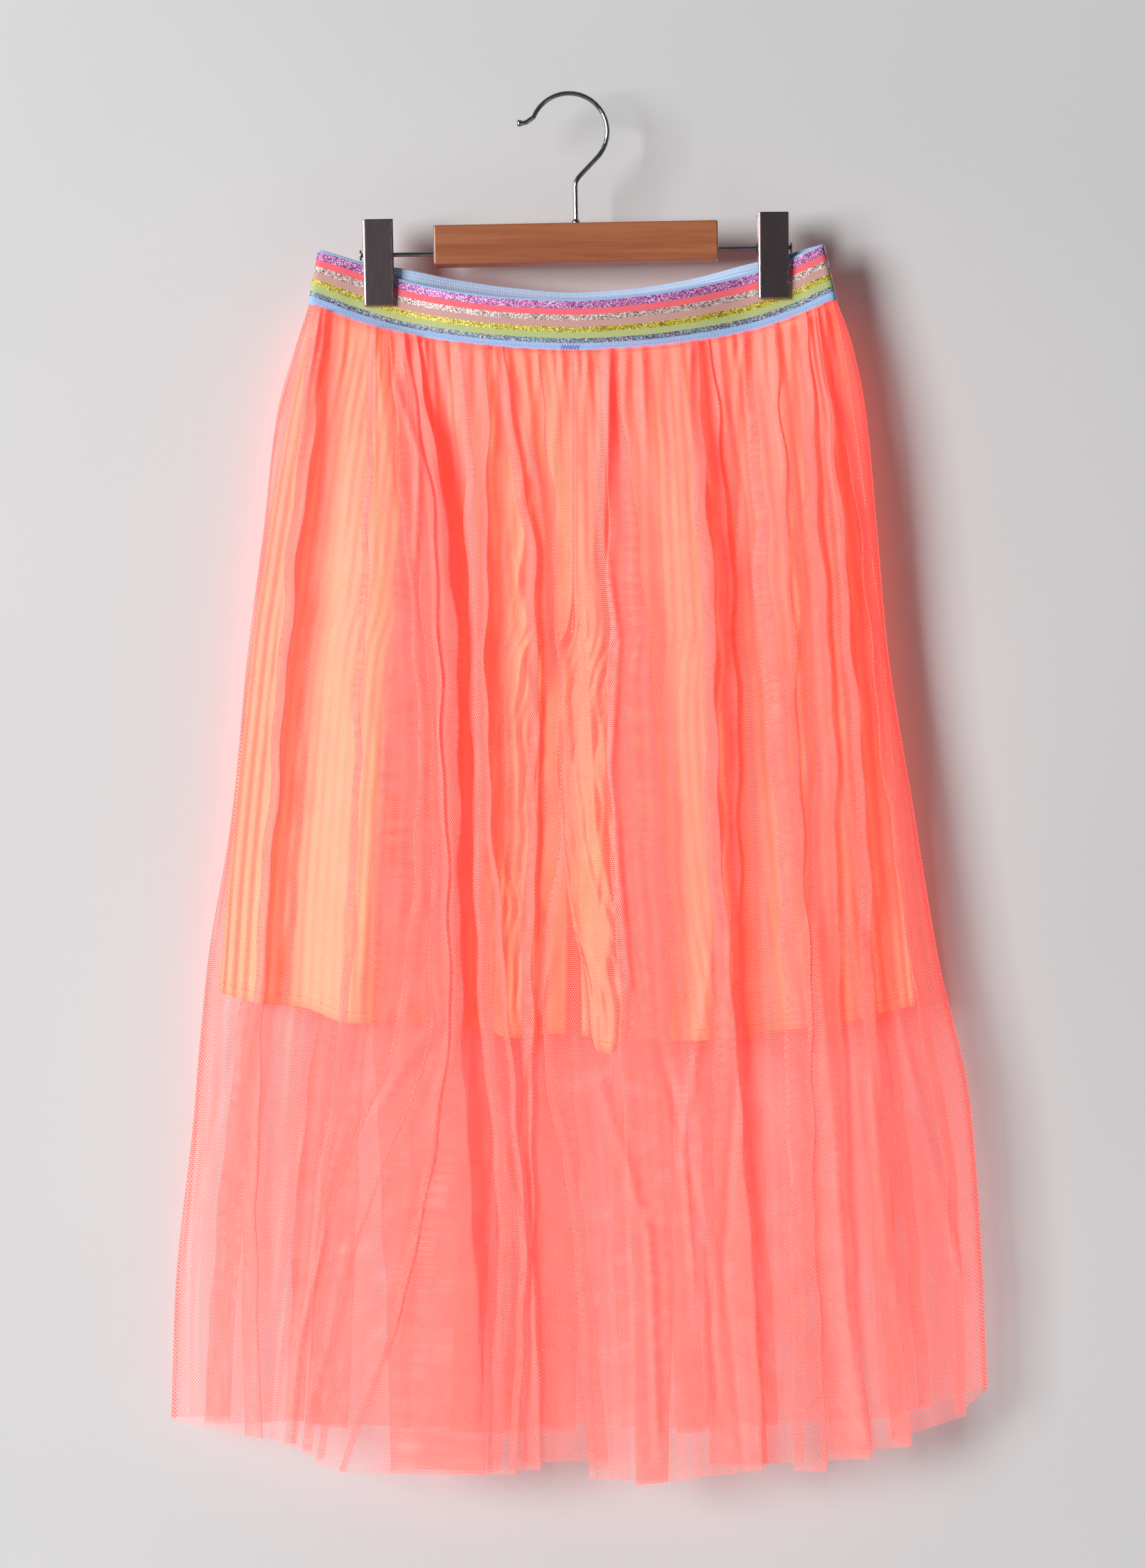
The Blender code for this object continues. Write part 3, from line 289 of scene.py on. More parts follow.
# Slanting creases: how far the cloth stands out at the crest, how far to each side, and
# the places (x, height) the crest runs through.
Crease = namedtuple("Crease", "height reach places")
NET_CREASES = (
    Crease(2.2, 5.0, ((-142, -745), (-156, -819), (-167, -850))),
    Crease(1.8, 4.0, ((-156, -735), (-174, -812), (-180, -876))),
    Crease(-1.6, 4.0, ((-92, -700), (-112, -790), (-124, -880))),
    Crease(1.6, 3.5, ((-117, -599), (-78, -580))),
    Crease(1.8, 4.0, ((-119, -652), (-98, -620), (-80, -597))),
    Crease(1.3, 3.0, ((-131, -531), (-104, -527), (-79, -515))),
    Crease(-1.2, 3.0, ((-126, -538), (-84, -521))),
    Crease(2.0, 4.5, ((-40, -690), (-24, -760), (-20, -840))),
    Crease(1.8, 4.0, ((-10, -560), (-30, -640), (-26, -730))),
    Crease(2.2, 5.0, ((92, -560), (74, -680), (84, -800))),
    Crease(4.0, 14.0, ((160, -540), (170, -660), (178, -780), (192, -872))),
    Crease(2.0, 6.0, ((-228, -620), (-236, -740), (-244, -860))),
    Crease(2.2, 6.0, ((20, -640), (52, -740), (58, -880))),
    Crease(-2.0, 6.0, ((108, -640), (100, -760), (112, -880))),
    Crease(-1.8, 5.0, ((60, -620), (88, -740), (96, -850))),
    Crease(2.0, 5.0, ((214, -600), (236, -690), (258, -780))),
    Crease(1.6, 4.0, ((196, -640), (206, -760), (236, -840))),
    Crease(-1.5, 4.0, ((186, -520), (214, -610), (238, -640))),
    Crease(1.4, 3.5, ((-196, -560), (-210, -640), (-238, -700))),
    Crease(2.0, 4.0, ((-112, -190), (-96, -235), (-98, -300))),
    Crease(2.2, 4.5, ((-36, -188), (-24, -240), (-42, -292), (-36, -345), (-22, -400))),
    Crease(2.0, 4.0, ((27, -190), (23, -290), (33, -361), (27, -439), (40, -580))),
    Crease(-1.8, 4.0, ((106, -200), (112, -250), (108, -300))),
)
SHORTS_CREASES = (
    Crease(3.5, 4.0, ((-36, -300), (-27, -346), (-36, -400), (-32, -462))),
    Crease(4.5, 4.5, ((-18, -318), (-16, -408), (-20, -472), (-29, -516), (-20, -552), (-18, -609))),
    Crease(3.0, 3.5, ((-13, -382), (-7, -444), (-14, -501), (-13, -523))),
    Crease(4.5, 4.5, ((-4, -350), (0, -418), (7, -472), (18, -523), (32, -552), (36, -588))),
    Crease(4.0, 4.0, ((11, -343), (14, -408), (18, -480), (29, -530))),
    Crease(4.5, 5.0, ((29, -364), (23, -444), (32, -498), (31, -534), (20, -585), (18, -622))),
    Crease(3.5, 4.0, ((-38, -198), (-28, -290), (-42, -361), (-40, -440), (-44, -560))),
    Crease(-3.0, 4.0, ((-19, -341), (-2, -346))),
    Crease(-3.5, 4.5, ((4, -346), (27, -338))),
    Crease(3.0, 4.0, ((-34, -505), (-22, -530), (-34, -556))),
    Crease(3.0, 5.0, ((150, -520), (140, -560), (152, -600))),
    Crease(-3.0, 5.0, ((163, -470), (158, -530), (166, -590))),
)

# Slack in the flat parts between folds: how far they bow out, as a share of their width.
SLACK = (0.03, -0.02, 0.05, 0.03, -0.02, 0.04, -0.03)
SLACK_BY = 0.20  # share of the drop

# ---------------------------------------------------------------- the pleated shorts

SHORTS_THICK = 0.5
SHORTS_ROWS = 70
PLEAT_PITCH = 6.6
PLEAT_STEPS = 6  # columns to a pleat
PLEAT_HEIGHT = 0.30
SIDE_PLEATS = 3.0  # how much deeper the pleats are near the side seams
INSIDE_PLEATS = 5.0  # and in the crumpled cloth at the inside of the leg
PLEAT_STRAY = 0.55  # how far those stray to either side, as a share of the pitch
STRAY_PERIODS = (47.0, 83.0, 131.0)
SHORTS_FREE_BY = 0.25
SHORTS_END_ROUND = 2.6
SHORTS_MIDDLE_ROUND = 2.4
SIDE_SWELL_SHARE = 0.30
INSIDE_SWELL_SHARE = 0.11
HEM_STITCH_UP = 7.0
HEM_STITCH_ENDS = (-0.1, 0.9)  # shares of a column
HEM_STITCH_CLEAR = 0.1
SHORTS_CLEAR = 4.0  # between the middles of the shorts' cloth and the net's
SHORTS_LEAST_OPEN = 1.5  # from the middle plane to a leg's front or back
SHORTS_LONG_SHARE = 0.60  # the shorts' length as a share of the net's
SHORTS_CREASE_ROOM = 8.0  # room at which the creases reach their full height
SIDE_PLEATS_FROM, SIDE_PLEATS_OVER = 0.34, 0.30  # shares of a panel's width, from its side seam
INSIDE_PLEATS_FROM, INSIDE_PLEATS_OVER = 0.74, 0.12
STRAY_RUN = 450.0  # length of a leg, about
PLEATS_BY = 0.06  # share of the drop, as the next two
RIDGES_FROM, RIDGES_OVER = 0.02, 0.15
RIDGE_SIDE_FADE = 0.06  # share of a panel's width
SHORTS_THREADS = (0.6, 0.8)  # from thread to thread, across and down

# The fronts stop short of the inside of the leg, where the backs come round to meet them.
LegRow = namedtuple(
    "LegRow", "down left_side left_front left_inner right_inner right_front right_side depth joined"
)
LEGS = (
    LegRow(0.00, -166.2, 3.4, 3.4, 3.7, 3.7, 171.7, 0.0, 0.0),
    LegRow(0.05, -171.0, 3.4, 3.4, 3.7, 3.7, 177.5, 5.0, 0.0),
    LegRow(0.14, -180.5, 3.4, 3.4, 3.7, 3.7, 184.5, 10.0, 0.0),
    LegRow(0.34, -196.0, 3.4, 3.4, 3.7, 3.7, 196.5, 12.0, 0.0),
    LegRow(0.40, -200.0, 0.0, 2.6, 4.5, 4.6, 200.0, 12.0, 0.6),
    LegRow(0.46, -204.0, -14.0, 2.2, 5.2, -3.0, 203.5, 12.0, 1.0),
    LegRow(0.56, -209.0, -18.0, 1.2, 6.0, -9.0, 207.5, 12.0, 1.0),
    LegRow(0.70, -216.0, -19.0, 0.4, 7.0, -5.0, 213.0, 12.0, 1.0),
    LegRow(0.84, -222.0, -20.0, -0.3, 8.0, 3.0, 219.0, 12.0, 1.0),
    LegRow(0.92, -224.5, -20.0, -0.7, 8.6, 12.0, 222.5, 12.0, 1.0),
    LegRow(1.00, -227.0, -20.0, -1.0, 9.0, 15.0, 226.0, 12.0, 1.0),
)
WRAP_BOW = {"left": 1.2, "right": -1.5}  # the right leg's lies in front
WRAP_STEPS = 8  # columns in the strip that comes round
WRAP_FADE = 6.0  # width of the strip at which it bows fully
HemRow = namedtuple("HemRow", "x height")
LEG_HEMS = {
    ("left", FRONT): (
        HemRow(-227, -585), HemRow(-207, -591), HemRow(-172, -594.5), HemRow(-143, -604),
        HemRow(-60, -606), HemRow(-38, -614), HemRow(-20, -613), HemRow(-13, -606), HemRow(-1, -605),
    ),
    ("left", BACK): (HemRow(-227, -585), HemRow(-143, -600), HemRow(-60, -604), HemRow(-1, -612)),
    ("right", FRONT): (
        HemRow(9, -607), HemRow(14, -609), HemRow(19, -623), HemRow(27, -624), HemRow(36, -618),
        HemRow(114, -614), HemRow(142, -609), HemRow(174, -605), HemRow(226, -593),
    ),
    ("right", BACK): (HemRow(9, -613), HemRow(114, -608), HemRow(174, -602), HemRow(226, -593)),
}

# Soft ridges in the shorts: place of the crest at band, thigh and hem, how far each side
# reaches, and the height.
Ridge = namedtuple("Ridge", "band thigh hem left right height")
SHORTS_RIDGES = (
    Ridge(-160, -179, -194, 18, 13, 12.0),
    Ridge(-116, -125, -138, 42, 34, 11.0),
    Ridge(-90, -79, -73, 26, 9, 8.5),
    Ridge(-34, -20, -22, 32, 9, 10.0),
    Ridge(12, 19, 27, 24, 12, 9.0),
    Ridge(82, 90, 92, 44, 10, 8.0),
    Ridge(92, 106, 110, 10, 15, 9.0),
    Ridge(128, 147, 157, 20, 14, 7.0),
    Ridge(152, 176, 192, 16, 12, 6.0),
)
CREST_PERIODS = (71.0, 127.0, 260.0)
CREST_STRAY, CREST_RUN = 2.0, 620.0  # how far a crest strays, and how its waves are drawn out
SHORTS_VALLEY = 6.5  # how far the cloth sinks between the ridges

# ---------------------------------------------------------------- hanger, stage and camera

# Plated metal: its darker and lighter shade, its roughness, and how its marks are drawn out.
Plating = namedtuple("Plating", "dark light roughness stretch")
CHROME = Plating("77777a", "8c8c90", 0.16, (60.0, 60.0, 60.0))
CLIP_PLATE = Plating("8c7e80", "8e8082", 0.26, (700.0, 700.0, 40.0))
METAL_EDGE = 1.6  # how far the rounding of an edge reaches

# The camera, lights and paper are in metres.
CAMERA_PLACE = (0.0027, -2.45, -0.449)
CAMERA_LENS = 86.25

# Soft lights: place, what they point at, size, and power as a share of the key light's.
Lamp = namedtuple("Lamp", "name place aim size share")
LAMPS = (
    Lamp("key", (-4.1, -3.9, 0.3), (0.0, 0.0, -0.42), (2.4, 2.8), 1.0),
    Lamp("fill", (0.95, -1.05, -1.2), (0.15, 0.0, -0.75), (0.7, 0.7), 0.0045),
    Lamp("back", (0.9, 2.4, 0.5), (0.0, 0.0, -0.45), (1.6, 1.6), 0.12),
)
SKY = (0.95, 0.97, 1.0, 1.0)
WALL_BEHIND = (0.036, 0.027)  # from the middle of the garment, at the hook and at the hem
HEM_BELOW_HOOK = 0.9
WALL_SIZE = (3.4, 2.6)
FLOOR_HEIGHT = -1.32
SWEEP_RADIUS = 0.35
SWEEP_STEPS = 12

# ---------------------------------------------------------------- sums on tables


def blend(low, high, share):
    return low + (high - low) * share


def ease(value):
    """Rises smoothly from 0 to 1 as value does."""
    value = np.clip(value, 0.0, 1.0)
    return value * value * (3 - 2 * value)


def curve(at, knots, values):
    """A smooth line through the values, with no turn between two of them."""
    knots, values = np.asarray(knots, float), np.asarray(values, float)
    rises = np.diff(values) / np.diff(knots)
    slopes = np.concatenate((rises[:1], rises[:-1] * 0, rises[-1:]))
    same_way = rises[:-1] * rises[1:] > 0
    total = np.where(same_way, rises[:-1] + rises[1:], 1.0)
    slopes[1:-1] = np.where(same_way, 2 * rises[:-1] * rises[1:] / total, 0.0)
    at = np.clip(at, knots[0], knots[-1])
    k = np.clip(np.searchsorted(knots, at, side="right") - 1, 0, len(knots) - 2)
    span = knots[k + 1] - knots[k]
    t = (at - knots[k]) / span
    t2, t3 = t * t, t**3
    return (
        values[k] * (2 * t3 - 3 * t2 + 1)
        + values[k + 1] * (3 * t2 - 2 * t3)
        + span * slopes[k] * (t3 - 2 * t2 + t)
        + span * slopes[k + 1] * (t3 - t2)
    )


def column(rows, name):
    return [getattr(row, name) for row in rows]


def look_up(rows, given, wanted, at):
    return curve(at, column(rows, given), column(rows, wanted))


def ripple(place, periods):
    """An uneven wave along place, between about -1 and 1."""
    total = np.zeros_like(place)
    for k, period in enumerate(periods):
        total += np.sin(2 * math.pi * place / period + RIPPLE_SHIFT * k * k)
    return total / len(periods) * RIPPLE_LIFT


def colour(code, own=OWN_SHARE):
    """A thing's own colour from the six hexadecimal digits of how it looks when lit."""
    parts = [int(code[k : k + 2], 16) / 255 for k in (0, 2, 4)]
    linear = [p / 12.92 if p <= 0.04045 else ((p + 0.055) / 1.055) ** 2.4 for p in parts]
    return (*[p * own for p in linear], 1.0)


def toned(shade, times=1.0):
    """The colour made that much lighter or darker, and opaque."""
    return (*[min(1.0, part * times) for part in shade[:3]], 1.0)


def tuck_height(x, fall, side):
    """How far the tucks carry the net out, at x and that far below the band."""
    total = np.zeros_like(x)
    for tuck in TUCKS:
        crest = -side * (tuck.x + tuck.lean / 100 * fall)
        reach = tuck.reach * (1 + fall / TUCK_SPREAD)
        rise = np.clip(1 - np.abs(x - crest) / reach, 0.0, 1.0) ** TUCK_SHARPNESS
        total = np.maximum(total, tuck.height * rise * ease(1 - fall / tuck.long))
    return total


def crease_height(x, z, creases):
    """How far the creases carry the cloth out at each place."""
    total = np.zeros_like(x)
    for crease in creases:
        nearest = np.full_like(x, np.inf)
        for (x1, z1), (x2, z2) in zip(crease.places, crease.places[1:]):
            run, fall = x2 - x1, z2 - z1
            share = np.clip(((x - x1) * run + (z - z1) * fall) / (run**2 + fall**2), 0.0, 1.0)
            nearest = np.minimum(nearest, np.hypot(x - x1 - run * share, z - z1 - fall * share))
        total += crease.height * np.clip(1 - nearest / crease.reach, 0.0, 1.0) ** CREASE_SHARPNESS
    return total


# ---------------------------------------------------------------- meshes


def add_piece(name, mesh, materials):
    """Puts a piece with this mesh and these finishes in the scene."""
    for material in materials:
        mesh.materials.append(material)
    thing = bpy.data.objects.new(name, mesh)
    bpy.context.scene.collection.objects.link(thing)
    return thing


def grid_object(name, points, flat_places, materials, around=False, skins=None):
    """A surface on rows of points in millimetres, with its UVs in metres of flat cloth.

    One that goes around is joined both ways: along its rows and from the last to the first.
    """
    rows, columns = points.shape[:2]
    index = np.arange(rows * columns).reshape(rows, columns)
    if around:
        index = np.vstack((index, index[:1]))
    right = np.roll(index, -1, axis=1) if around else index[:, 1:]
    left = index if around else index[:, :-1]
    faces = np.stack((left[1:], right[1:], right[:-1], left[:-1]), axis=-1).reshape(-1, 4)
    mesh = bpy.data.meshes.new(name)
    mesh.from_pydata((points.reshape(-1, 3) * MM).tolist(), [], faces.tolist())
    uv = flat_places.reshape(-1, 2)[faces.reshape(-1)]
    layer = mesh.uv_layers.new(name="flat_cloth")
    layer.data.foreach_set("uv", (uv * MM).astype(np.float32).ravel())
    mesh.shade_smooth()
    thing = add_piece(name, mesh, materials)
    if skins is not None:
        mesh.polygons.foreach_set("material_index", skins.astype(np.int32))
    mesh.update()
    return thing


def stitches(name, rows_of_ends, width, material, sides=6):
    """Short plump threads, one between each pair of points, as one mesh."""
    points, faces = [], []
    shape = ((0.0, 0.45), (0.25, 1.0), (0.75, 1.0), (1.0, 0.45))
    for start, end, out in rows_of_ends:
        start, end, out = Vector(start), Vector(end), Vector(out).normalized()
        across = (end - start).cross(out).normalized()
        first = len(points)
        for share, swell in shape:
            middle = start.lerp(end, share) + out * width * STITCH_RISE * math.sin(math.pi * share)
            for k in range(sides):
                turn = 2 * math.pi * k / sides
                spoke = across * math.cos(turn) + out * math.sin(turn)
                points.append((middle + spoke * width / 2 * swell) * MM)
        for ring in range(len(shape) - 1):
            for k in range(sides):
                n = (k + 1) % sides
                a, b = first + ring * sides, first + (ring + 1) * sides
                faces.append((a + k, a + n, b + n, b + k))
        faces.append(tuple(first + k for k in reversed(range(sides))))
        faces.append(tuple(first + (len(shape) - 1) * sides + k for k in range(sides)))
    mesh = bpy.data.meshes.new(name)
    mesh.from_pydata(points, [], faces)
    mesh.shade_smooth()
    return add_piece(name, mesh, [material])


def flat_width(points):
    """How far along its row, across the cloth, each point lies."""
    steps = np.linalg.norm(np.diff(points[:, :, :2], axis=1), axis=2)
    return np.concatenate((np.zeros((len(points), 1)), np.cumsum(steps, axis=1)), axis=1)


# ---------------------------------------------------------------- materials


class Finish:
    """A new material, with short ways to add the nodes of its surface."""

    def __init__(self, name):
        self.material = bpy.data.materials.new(name)
        self.material.use_nodes = True
        self.tree = self.material.node_tree
        self.shader = self.tree.nodes["Principled BSDF"]

    def plug(self, node, inputs):
        """Gives a node's inputs their value, or another node's output."""
        for key, value in inputs.items():
            if isinstance(value, bpy.types.NodeSocket):
                self.tree.links.new(value, node.inputs[key])
            else:
                node.inputs[key].default_value = value

    def surface(self, inputs):
        """Sets the surface's inputs and gives the finished material."""
        self.plug(self.shader, inputs)
        return self.material

    def node(self, kind, inputs, **settings):
        node = self.tree.nodes.new(kind)
        for key, value in settings.items():
            setattr(node, key, value)
        self.plug(node, inputs)
        return node

    def maths(self, operation, first, second=0.0, third=0.0):
        inputs = {0: first, 1: second, 2: third}
        return self.node("ShaderNodeMath", inputs, operation=operation).outputs[0]

    def times(self, first, second):
        return self.maths("MULTIPLY", first, second)

    def plus(self, first, second):
        return self.maths("ADD", first, second)

    def wave(self, place, pitch):
        """A smooth wave along place, with a crest at each pitch in millimetres."""
        return self.maths("SINE", self.times(place, 2 * math.pi / (pitch * MM)))

    def spread(self, value, low, high, to_low=0.0, to_high=1.0):
        """The value moved from one range to another."""
        inputs = {"Value": value, "From Min": low, "From Max": high, "To Min": to_low, "To Max": to_high}
        return self.node("ShaderNodeMapRange", inputs).outputs["Result"]

    def mix(self, share, first, second):
        inputs = {0: share, 6: first, 7: second}
        return self.node("ShaderNodeMix", inputs, data_type="RGBA").outputs[2]

    def ramp(self, value, stops, interpolation="LINEAR"):
        """A colour ramp with stops of (place, colour)."""
        node = self.node("ShaderNodeValToRGB", {"Fac": value})
        node.color_ramp.interpolation = interpolation
        elements = node.color_ramp.elements
        while len(elements) < len(stops):
            elements.new(0.5)
        for element, (place, shade) in zip(elements, stops):
            element.position = place
            element.color = shade
        return node.outputs["Color"]

    def noise(self, place, **inputs):
        return self.node("ShaderNodeTexNoise", {"Vector": place, **inputs}).outputs["Fac"]

    def stretched(self, place, stretch):
        inputs = {0: place, 1: stretch}
        return self.node("ShaderNodeVectorMath", inputs, operation="MULTIPLY").outputs[0]

    def bump(self, height, strength, distance):
        """The surface's direction with that relief on it, its depth in millimetres."""
        inputs = {"Height": height, "Strength": strength, "Distance": distance * MM}
        return self.node("ShaderNodeBump", inputs).outputs["Normal"]

    def cloth_place(self):
        """The place on the flat cloth, in metres: both ways, across it and down it."""
        both = self.node("ShaderNodeUVMap", {}, uv_map="flat_cloth").outputs["UV"]
        parts = self.node("ShaderNodeSeparateXYZ", {"Vector": both}).outputs
        return both, parts["X"], parts["Y"]

    def solid_place(self):
        return self.node("ShaderNodeTexCoord", {}).outputs["Object"]


def net_material(settings):
    """Fine six-sided net: threads round the holes of a three-way lattice, with a painted glow."""
    finish = Finish("neon_net")
    place, across, down = finish.cloth_place()
    slant = math.sin(math.radians(60))
    turn = 2 * math.pi / (settings.mesh_pitch * slant)
    first, side = finish.times(down, turn), finish.times(across, turn * slant)
    half = finish.times(first, 0.5)
    waves = finish.maths("COSINE", first)
    for way in ("ADD", "SUBTRACT"):
        waves = finish.plus(waves, finish.maths("COSINE", finish.maths(way, side, half)))
    crowd = finish.node("ShaderNodeAttribute", {}, attribute_name="crowding").outputs["Fac"]
    level = finish.maths("MULTIPLY_ADD", crowd, CROWD_STEP, HOLE_LEVEL - CROWD_STEP)
    holes = finish.maths("SUBTRACT", waves, level)
    uneven = finish.spread(finish.noise(place, Scale=60.0, Detail=2.0), 0.35, 0.65)
    dye = settings.net_colour
    return finish.surface({
        "Base Color": finish.mix(uneven, toned(dye), toned(dye, 1.12)),
        "Alpha": finish.spread(holes, -THREAD_EDGE, THREAD_EDGE, 1.0, 0.0),
        "Roughness": 0.7,
        "Sheen Weight": 0.35,
        "Sheen Roughness": 0.4,
        # Painted glow: the net gives off a light of its own, so its red stays full where it lies in shade.
        "Emission Color": toned(settings.net_painted_glow),
        "Emission Strength": settings.painted_glow,
    })


def shorts_material(settings):
    """Smooth thin cloth with a fine thread grain, and a painted glow."""
    finish = Finish("pleated_neon_cloth")
    place, across, down = finish.cloth_place()
    warp, weft = (finish.wave(way, pitch) for way, pitch in zip((across, down), SHORTS_THREADS))
    uneven = finish.spread(finish.noise(place, Scale=35.0, Detail=3.0), 0.3, 0.7)
    dye = settings.shorts_colour
    return finish.surface({
        "Base Color": finish.mix(uneven, toned(dye), toned(dye, 1.10)),
        "Normal": finish.bump(finish.times(warp, weft), 0.15, 0.1),
        "Roughness": 0.6,
        "Sheen Weight": 0.2,
        # Painted glow: the shorts give off a light of their own, so their red stays full where they lie in
        # shade.
        "Emission Color": toned(settings.shorts_painted_glow),
        "Emission Strength": settings.painted_glow,
    })


def elastic_material():
    """Striped elastic: ribs across the band, and glitter thread in some stripes."""
    finish = Finish("striped_elastic")
    place, along, down = finish.cloth_place()
    share = finish.maths("DIVIDE", down, BAND_HIGH * MM)
    inputs = {"Vector": finish.stretched(place, (1.0, 1.25, 1.0)), "Scale": GLITTER_FLAKES}
    flakes = finish.node("ShaderNodeTexVoronoi", inputs, voronoi_dimensions="2D").outputs["Color"]
    lot = finish.node("ShaderNodeSeparateColor", {"Color": flakes}).outputs
    starts = [0.0, *column(STRIPES[:-1], "ends")]
    shade = finish.ramp(share, [(s, colour(row.colour)) for s, row in zip(starts, STRIPES)], "CONSTANT")
    shine = 0.0
    for start, row in zip(starts, STRIPES):
        if row.glitter:
            # Painted light on the glitter: each flake takes a darker, plain, lighter or near-white copy of
            # the stripe's colour, painted shade, light and glints on tilted flakes.
            dark, bright, painted_glint = row.glitter
            shades = map(colour, (dark, row.colour, bright, painted_glint))
            painted_flake_shades = finish.ramp(lot["Red"], list(zip(GLITTER_STOPS, shades)), "CONSTANT")
            past_start = finish.maths("GREATER_THAN", share, start)
            inside = finish.times(past_start, finish.maths("LESS_THAN", share, row.ends))
            shade = finish.mix(inside, shade, painted_flake_shades)
            shine = finish.plus(shine, inside)
    ribs, rows = finish.wave(along, RIB_PITCH), finish.wave(down, ROW_PITCH)
    knit = finish.plus(finish.times(ribs, 0.6), finish.times(rows, 0.4))
    flake_tilt = finish.times(finish.maths("SUBTRACT", lot["Green"], 0.5), shine)
    return finish.surface({
        "Base Color": shade,
        "Normal": finish.bump(finish.plus(knit, flake_tilt), 0.25, 0.2),
        "Metallic": finish.times(shine, 0.25),
        "Roughness": finish.spread(shine, 0.0, 1.0, 0.85, 0.5),
    })


def band_lining_material():
    """The plain inside of the band, with its fine lengthwise ribs and painted shade between its rows."""
    finish = Finish("band_lining")
    place, along, down = finish.cloth_place()
    rows = finish.wave(down, LINING_ROW_PITCH)
    relief = finish.plus(rows, finish.times(finish.wave(along, RIB_PITCH), 0.4))
    return finish.surface({
        # Painted shade: the colour is darker in the grooves between the rows and lighter on their crests,
        # in step with their relief.
        "Base Color": finish.mix(finish.spread(rows, -1.0, 1.0), colour("b6d2fa"), colour("cfe6ff")),
        "Normal": finish.bump(relief, 0.6, 0.3),
        "Roughness": 0.8,
    })


def thread_material(name, code):
    """Sewing thread, with slanting stripes of painted shade between its plies."""
    finish = Finish(name)
    inputs = {"Vector": finish.solid_place(), "Scale": 900.0}
    # Painted shade: darker slanting stripes stand for the shade between the thread's plies.
    painted_ply_shade = finish.node("ShaderNodeTexWave", inputs, bands_direction="DIAGONAL").outputs["Fac"]
    shade = finish.mix(painted_ply_shade, toned(colour(code), 0.7), colour(code))
    return finish.surface({"Base Color": shade, "Roughness": 0.6})


def wood_material():
    """Lacquered reddish wood, its grain running along the bar."""
    finish = Finish("lacquered_wood")
    place = finish.solid_place()
    grain = finish.stretched(place, (4.0, 110.0, 110.0))
    figure = finish.noise(grain, Scale=1.6, Detail=6.0, Roughness=0.6, Distortion=0.4)
    pores = finish.noise(finish.stretched(place, (40.0, 900.0, 900.0)), Scale=1.0, Detail=3.0)
    shades = ((0.30, "98532f"), (0.48, "a55d35"), (0.60, "ac643b"), (0.72, "9e5832"))
    base = finish.ramp(figure, [(stop, colour(code)) for stop, code in shades])
    return finish.surface({
        "Base Color": finish.mix(finish.spread(pores, 0.54, 0.72, 0.0, 0.35), base, colour("7c4526")),
        "Normal": finish.bump(pores, 0.12, 0.3),
        "Roughness": finish.spread(figure, 0.3, 0.7, 0.34, 0.46),
        "Coat Weight": 0.35,
        "Coat Roughness": 0.25,
    })


def metal_material(name, plating):
    """Plated metal with fine drawn-out marks and softly rounded edges."""
    finish = Finish(name)
    marks = finish.noise(finish.stretched(finish.solid_place(), plating.stretch), Scale=1.0, Detail=4.0)
    dark, light = colour(plating.dark, 1.0), colour(plating.light, 1.0)
    rough = plating.roughness
    edges = finish.node("ShaderNodeBevel", {"Radius": METAL_EDGE * MM}, samples=6)
    return finish.surface({
        "Base Color": finish.mix(finish.spread(marks, 0.35, 0.65), dark, light),
        "Roughness": finish.spread(marks, 0.3, 0.7, rough * 0.95, rough * 1.05),
        "Normal": edges.outputs["Normal"],
        "Metallic": 1.0,
    })


def stage_material(settings):
    """Pale matt paper that shows only its front, so the object can be seen from behind."""
    finish = Finish("pale_paper")
    mottle = finish.spread(finish.noise(finish.solid_place(), Scale=2.5, Detail=2.0), 0.3, 0.7)
    pale = settings.paper_colour
    material = finish.surface({
        "Base Color": finish.mix(mottle, toned(pale, 0.97), toned(pale, 1.02)),
        "Roughness": 0.9,
        "Specular IOR Level": 0.1,
    })
    behind = finish.node("ShaderNodeNewGeometry", {}).outputs["Backfacing"]
    clear = finish.node("ShaderNodeBsdfTransparent", {}).outputs[0]
    both = finish.node("ShaderNodeMixShader", {0: behind, 1: finish.shader.outputs[0], 2: clear})
    finish.plug(finish.tree.nodes["Material Output"], {"Surface": both.outputs[0]})
    return material


# ---------------------------------------------------------------- the band's form


def band_height(share, low_share, side):
    """Height of the band at share of its width, low_share of the way down."""
    x = blend(BAND[0].x, BAND[-1].x, share)
    top = look_up(BAND, "x", "back_top" if side == BACK else "front_top", x)
    deep = look_up(BAND, "x", "front_top", x) - look_up(BAND, "x", "front_bottom", x)
    return top - deep * low_share


def band_open(share, low_share):
    """Half the opening between the middles of the band's front and back there."""
    x = blend(BAND[0].x, BAND[-1].x, share)
    spread = ease((low_share - PINCHED_DOWN_TO) / (1 - PINCHED_DOWN_TO))
    return blend(look_up(BAND, "x", "open_top", x), look_up(BAND, "x", "open_bottom", x), spread)


def band_ends(low_share):
    """x of the band's left and right end there."""
    left = blend(BAND_LEFT_TOP, BAND_LEFT_BOTTOM, low_share)
    return left, blend(BAND_RIGHT_TOP, BAND_RIGHT_BOTTOM, low_share)


def band_share(x, low_share=1.0):
    """How far x lies along the band, from 0 at its left end to 1 at its right."""
    left, right = band_ends(low_share)
    return np.clip((x - left) / (right - left), 0.0, 1.0)


def band_side(low_share, side):
    """Points along the front or back of the band, left to right, without its end rounds."""
    round_share = BAND_END_ROUND / (BAND_RIGHT_TOP - BAND_LEFT_TOP)
    share = np.linspace(round_share, 1 - round_share, BAND_COLUMNS + 1)
    x = blend(*band_ends(low_share), share)
    y = side * band_open(share, low_share)
    return np.stack((x, y, band_height(share, low_share, side)), axis=1)


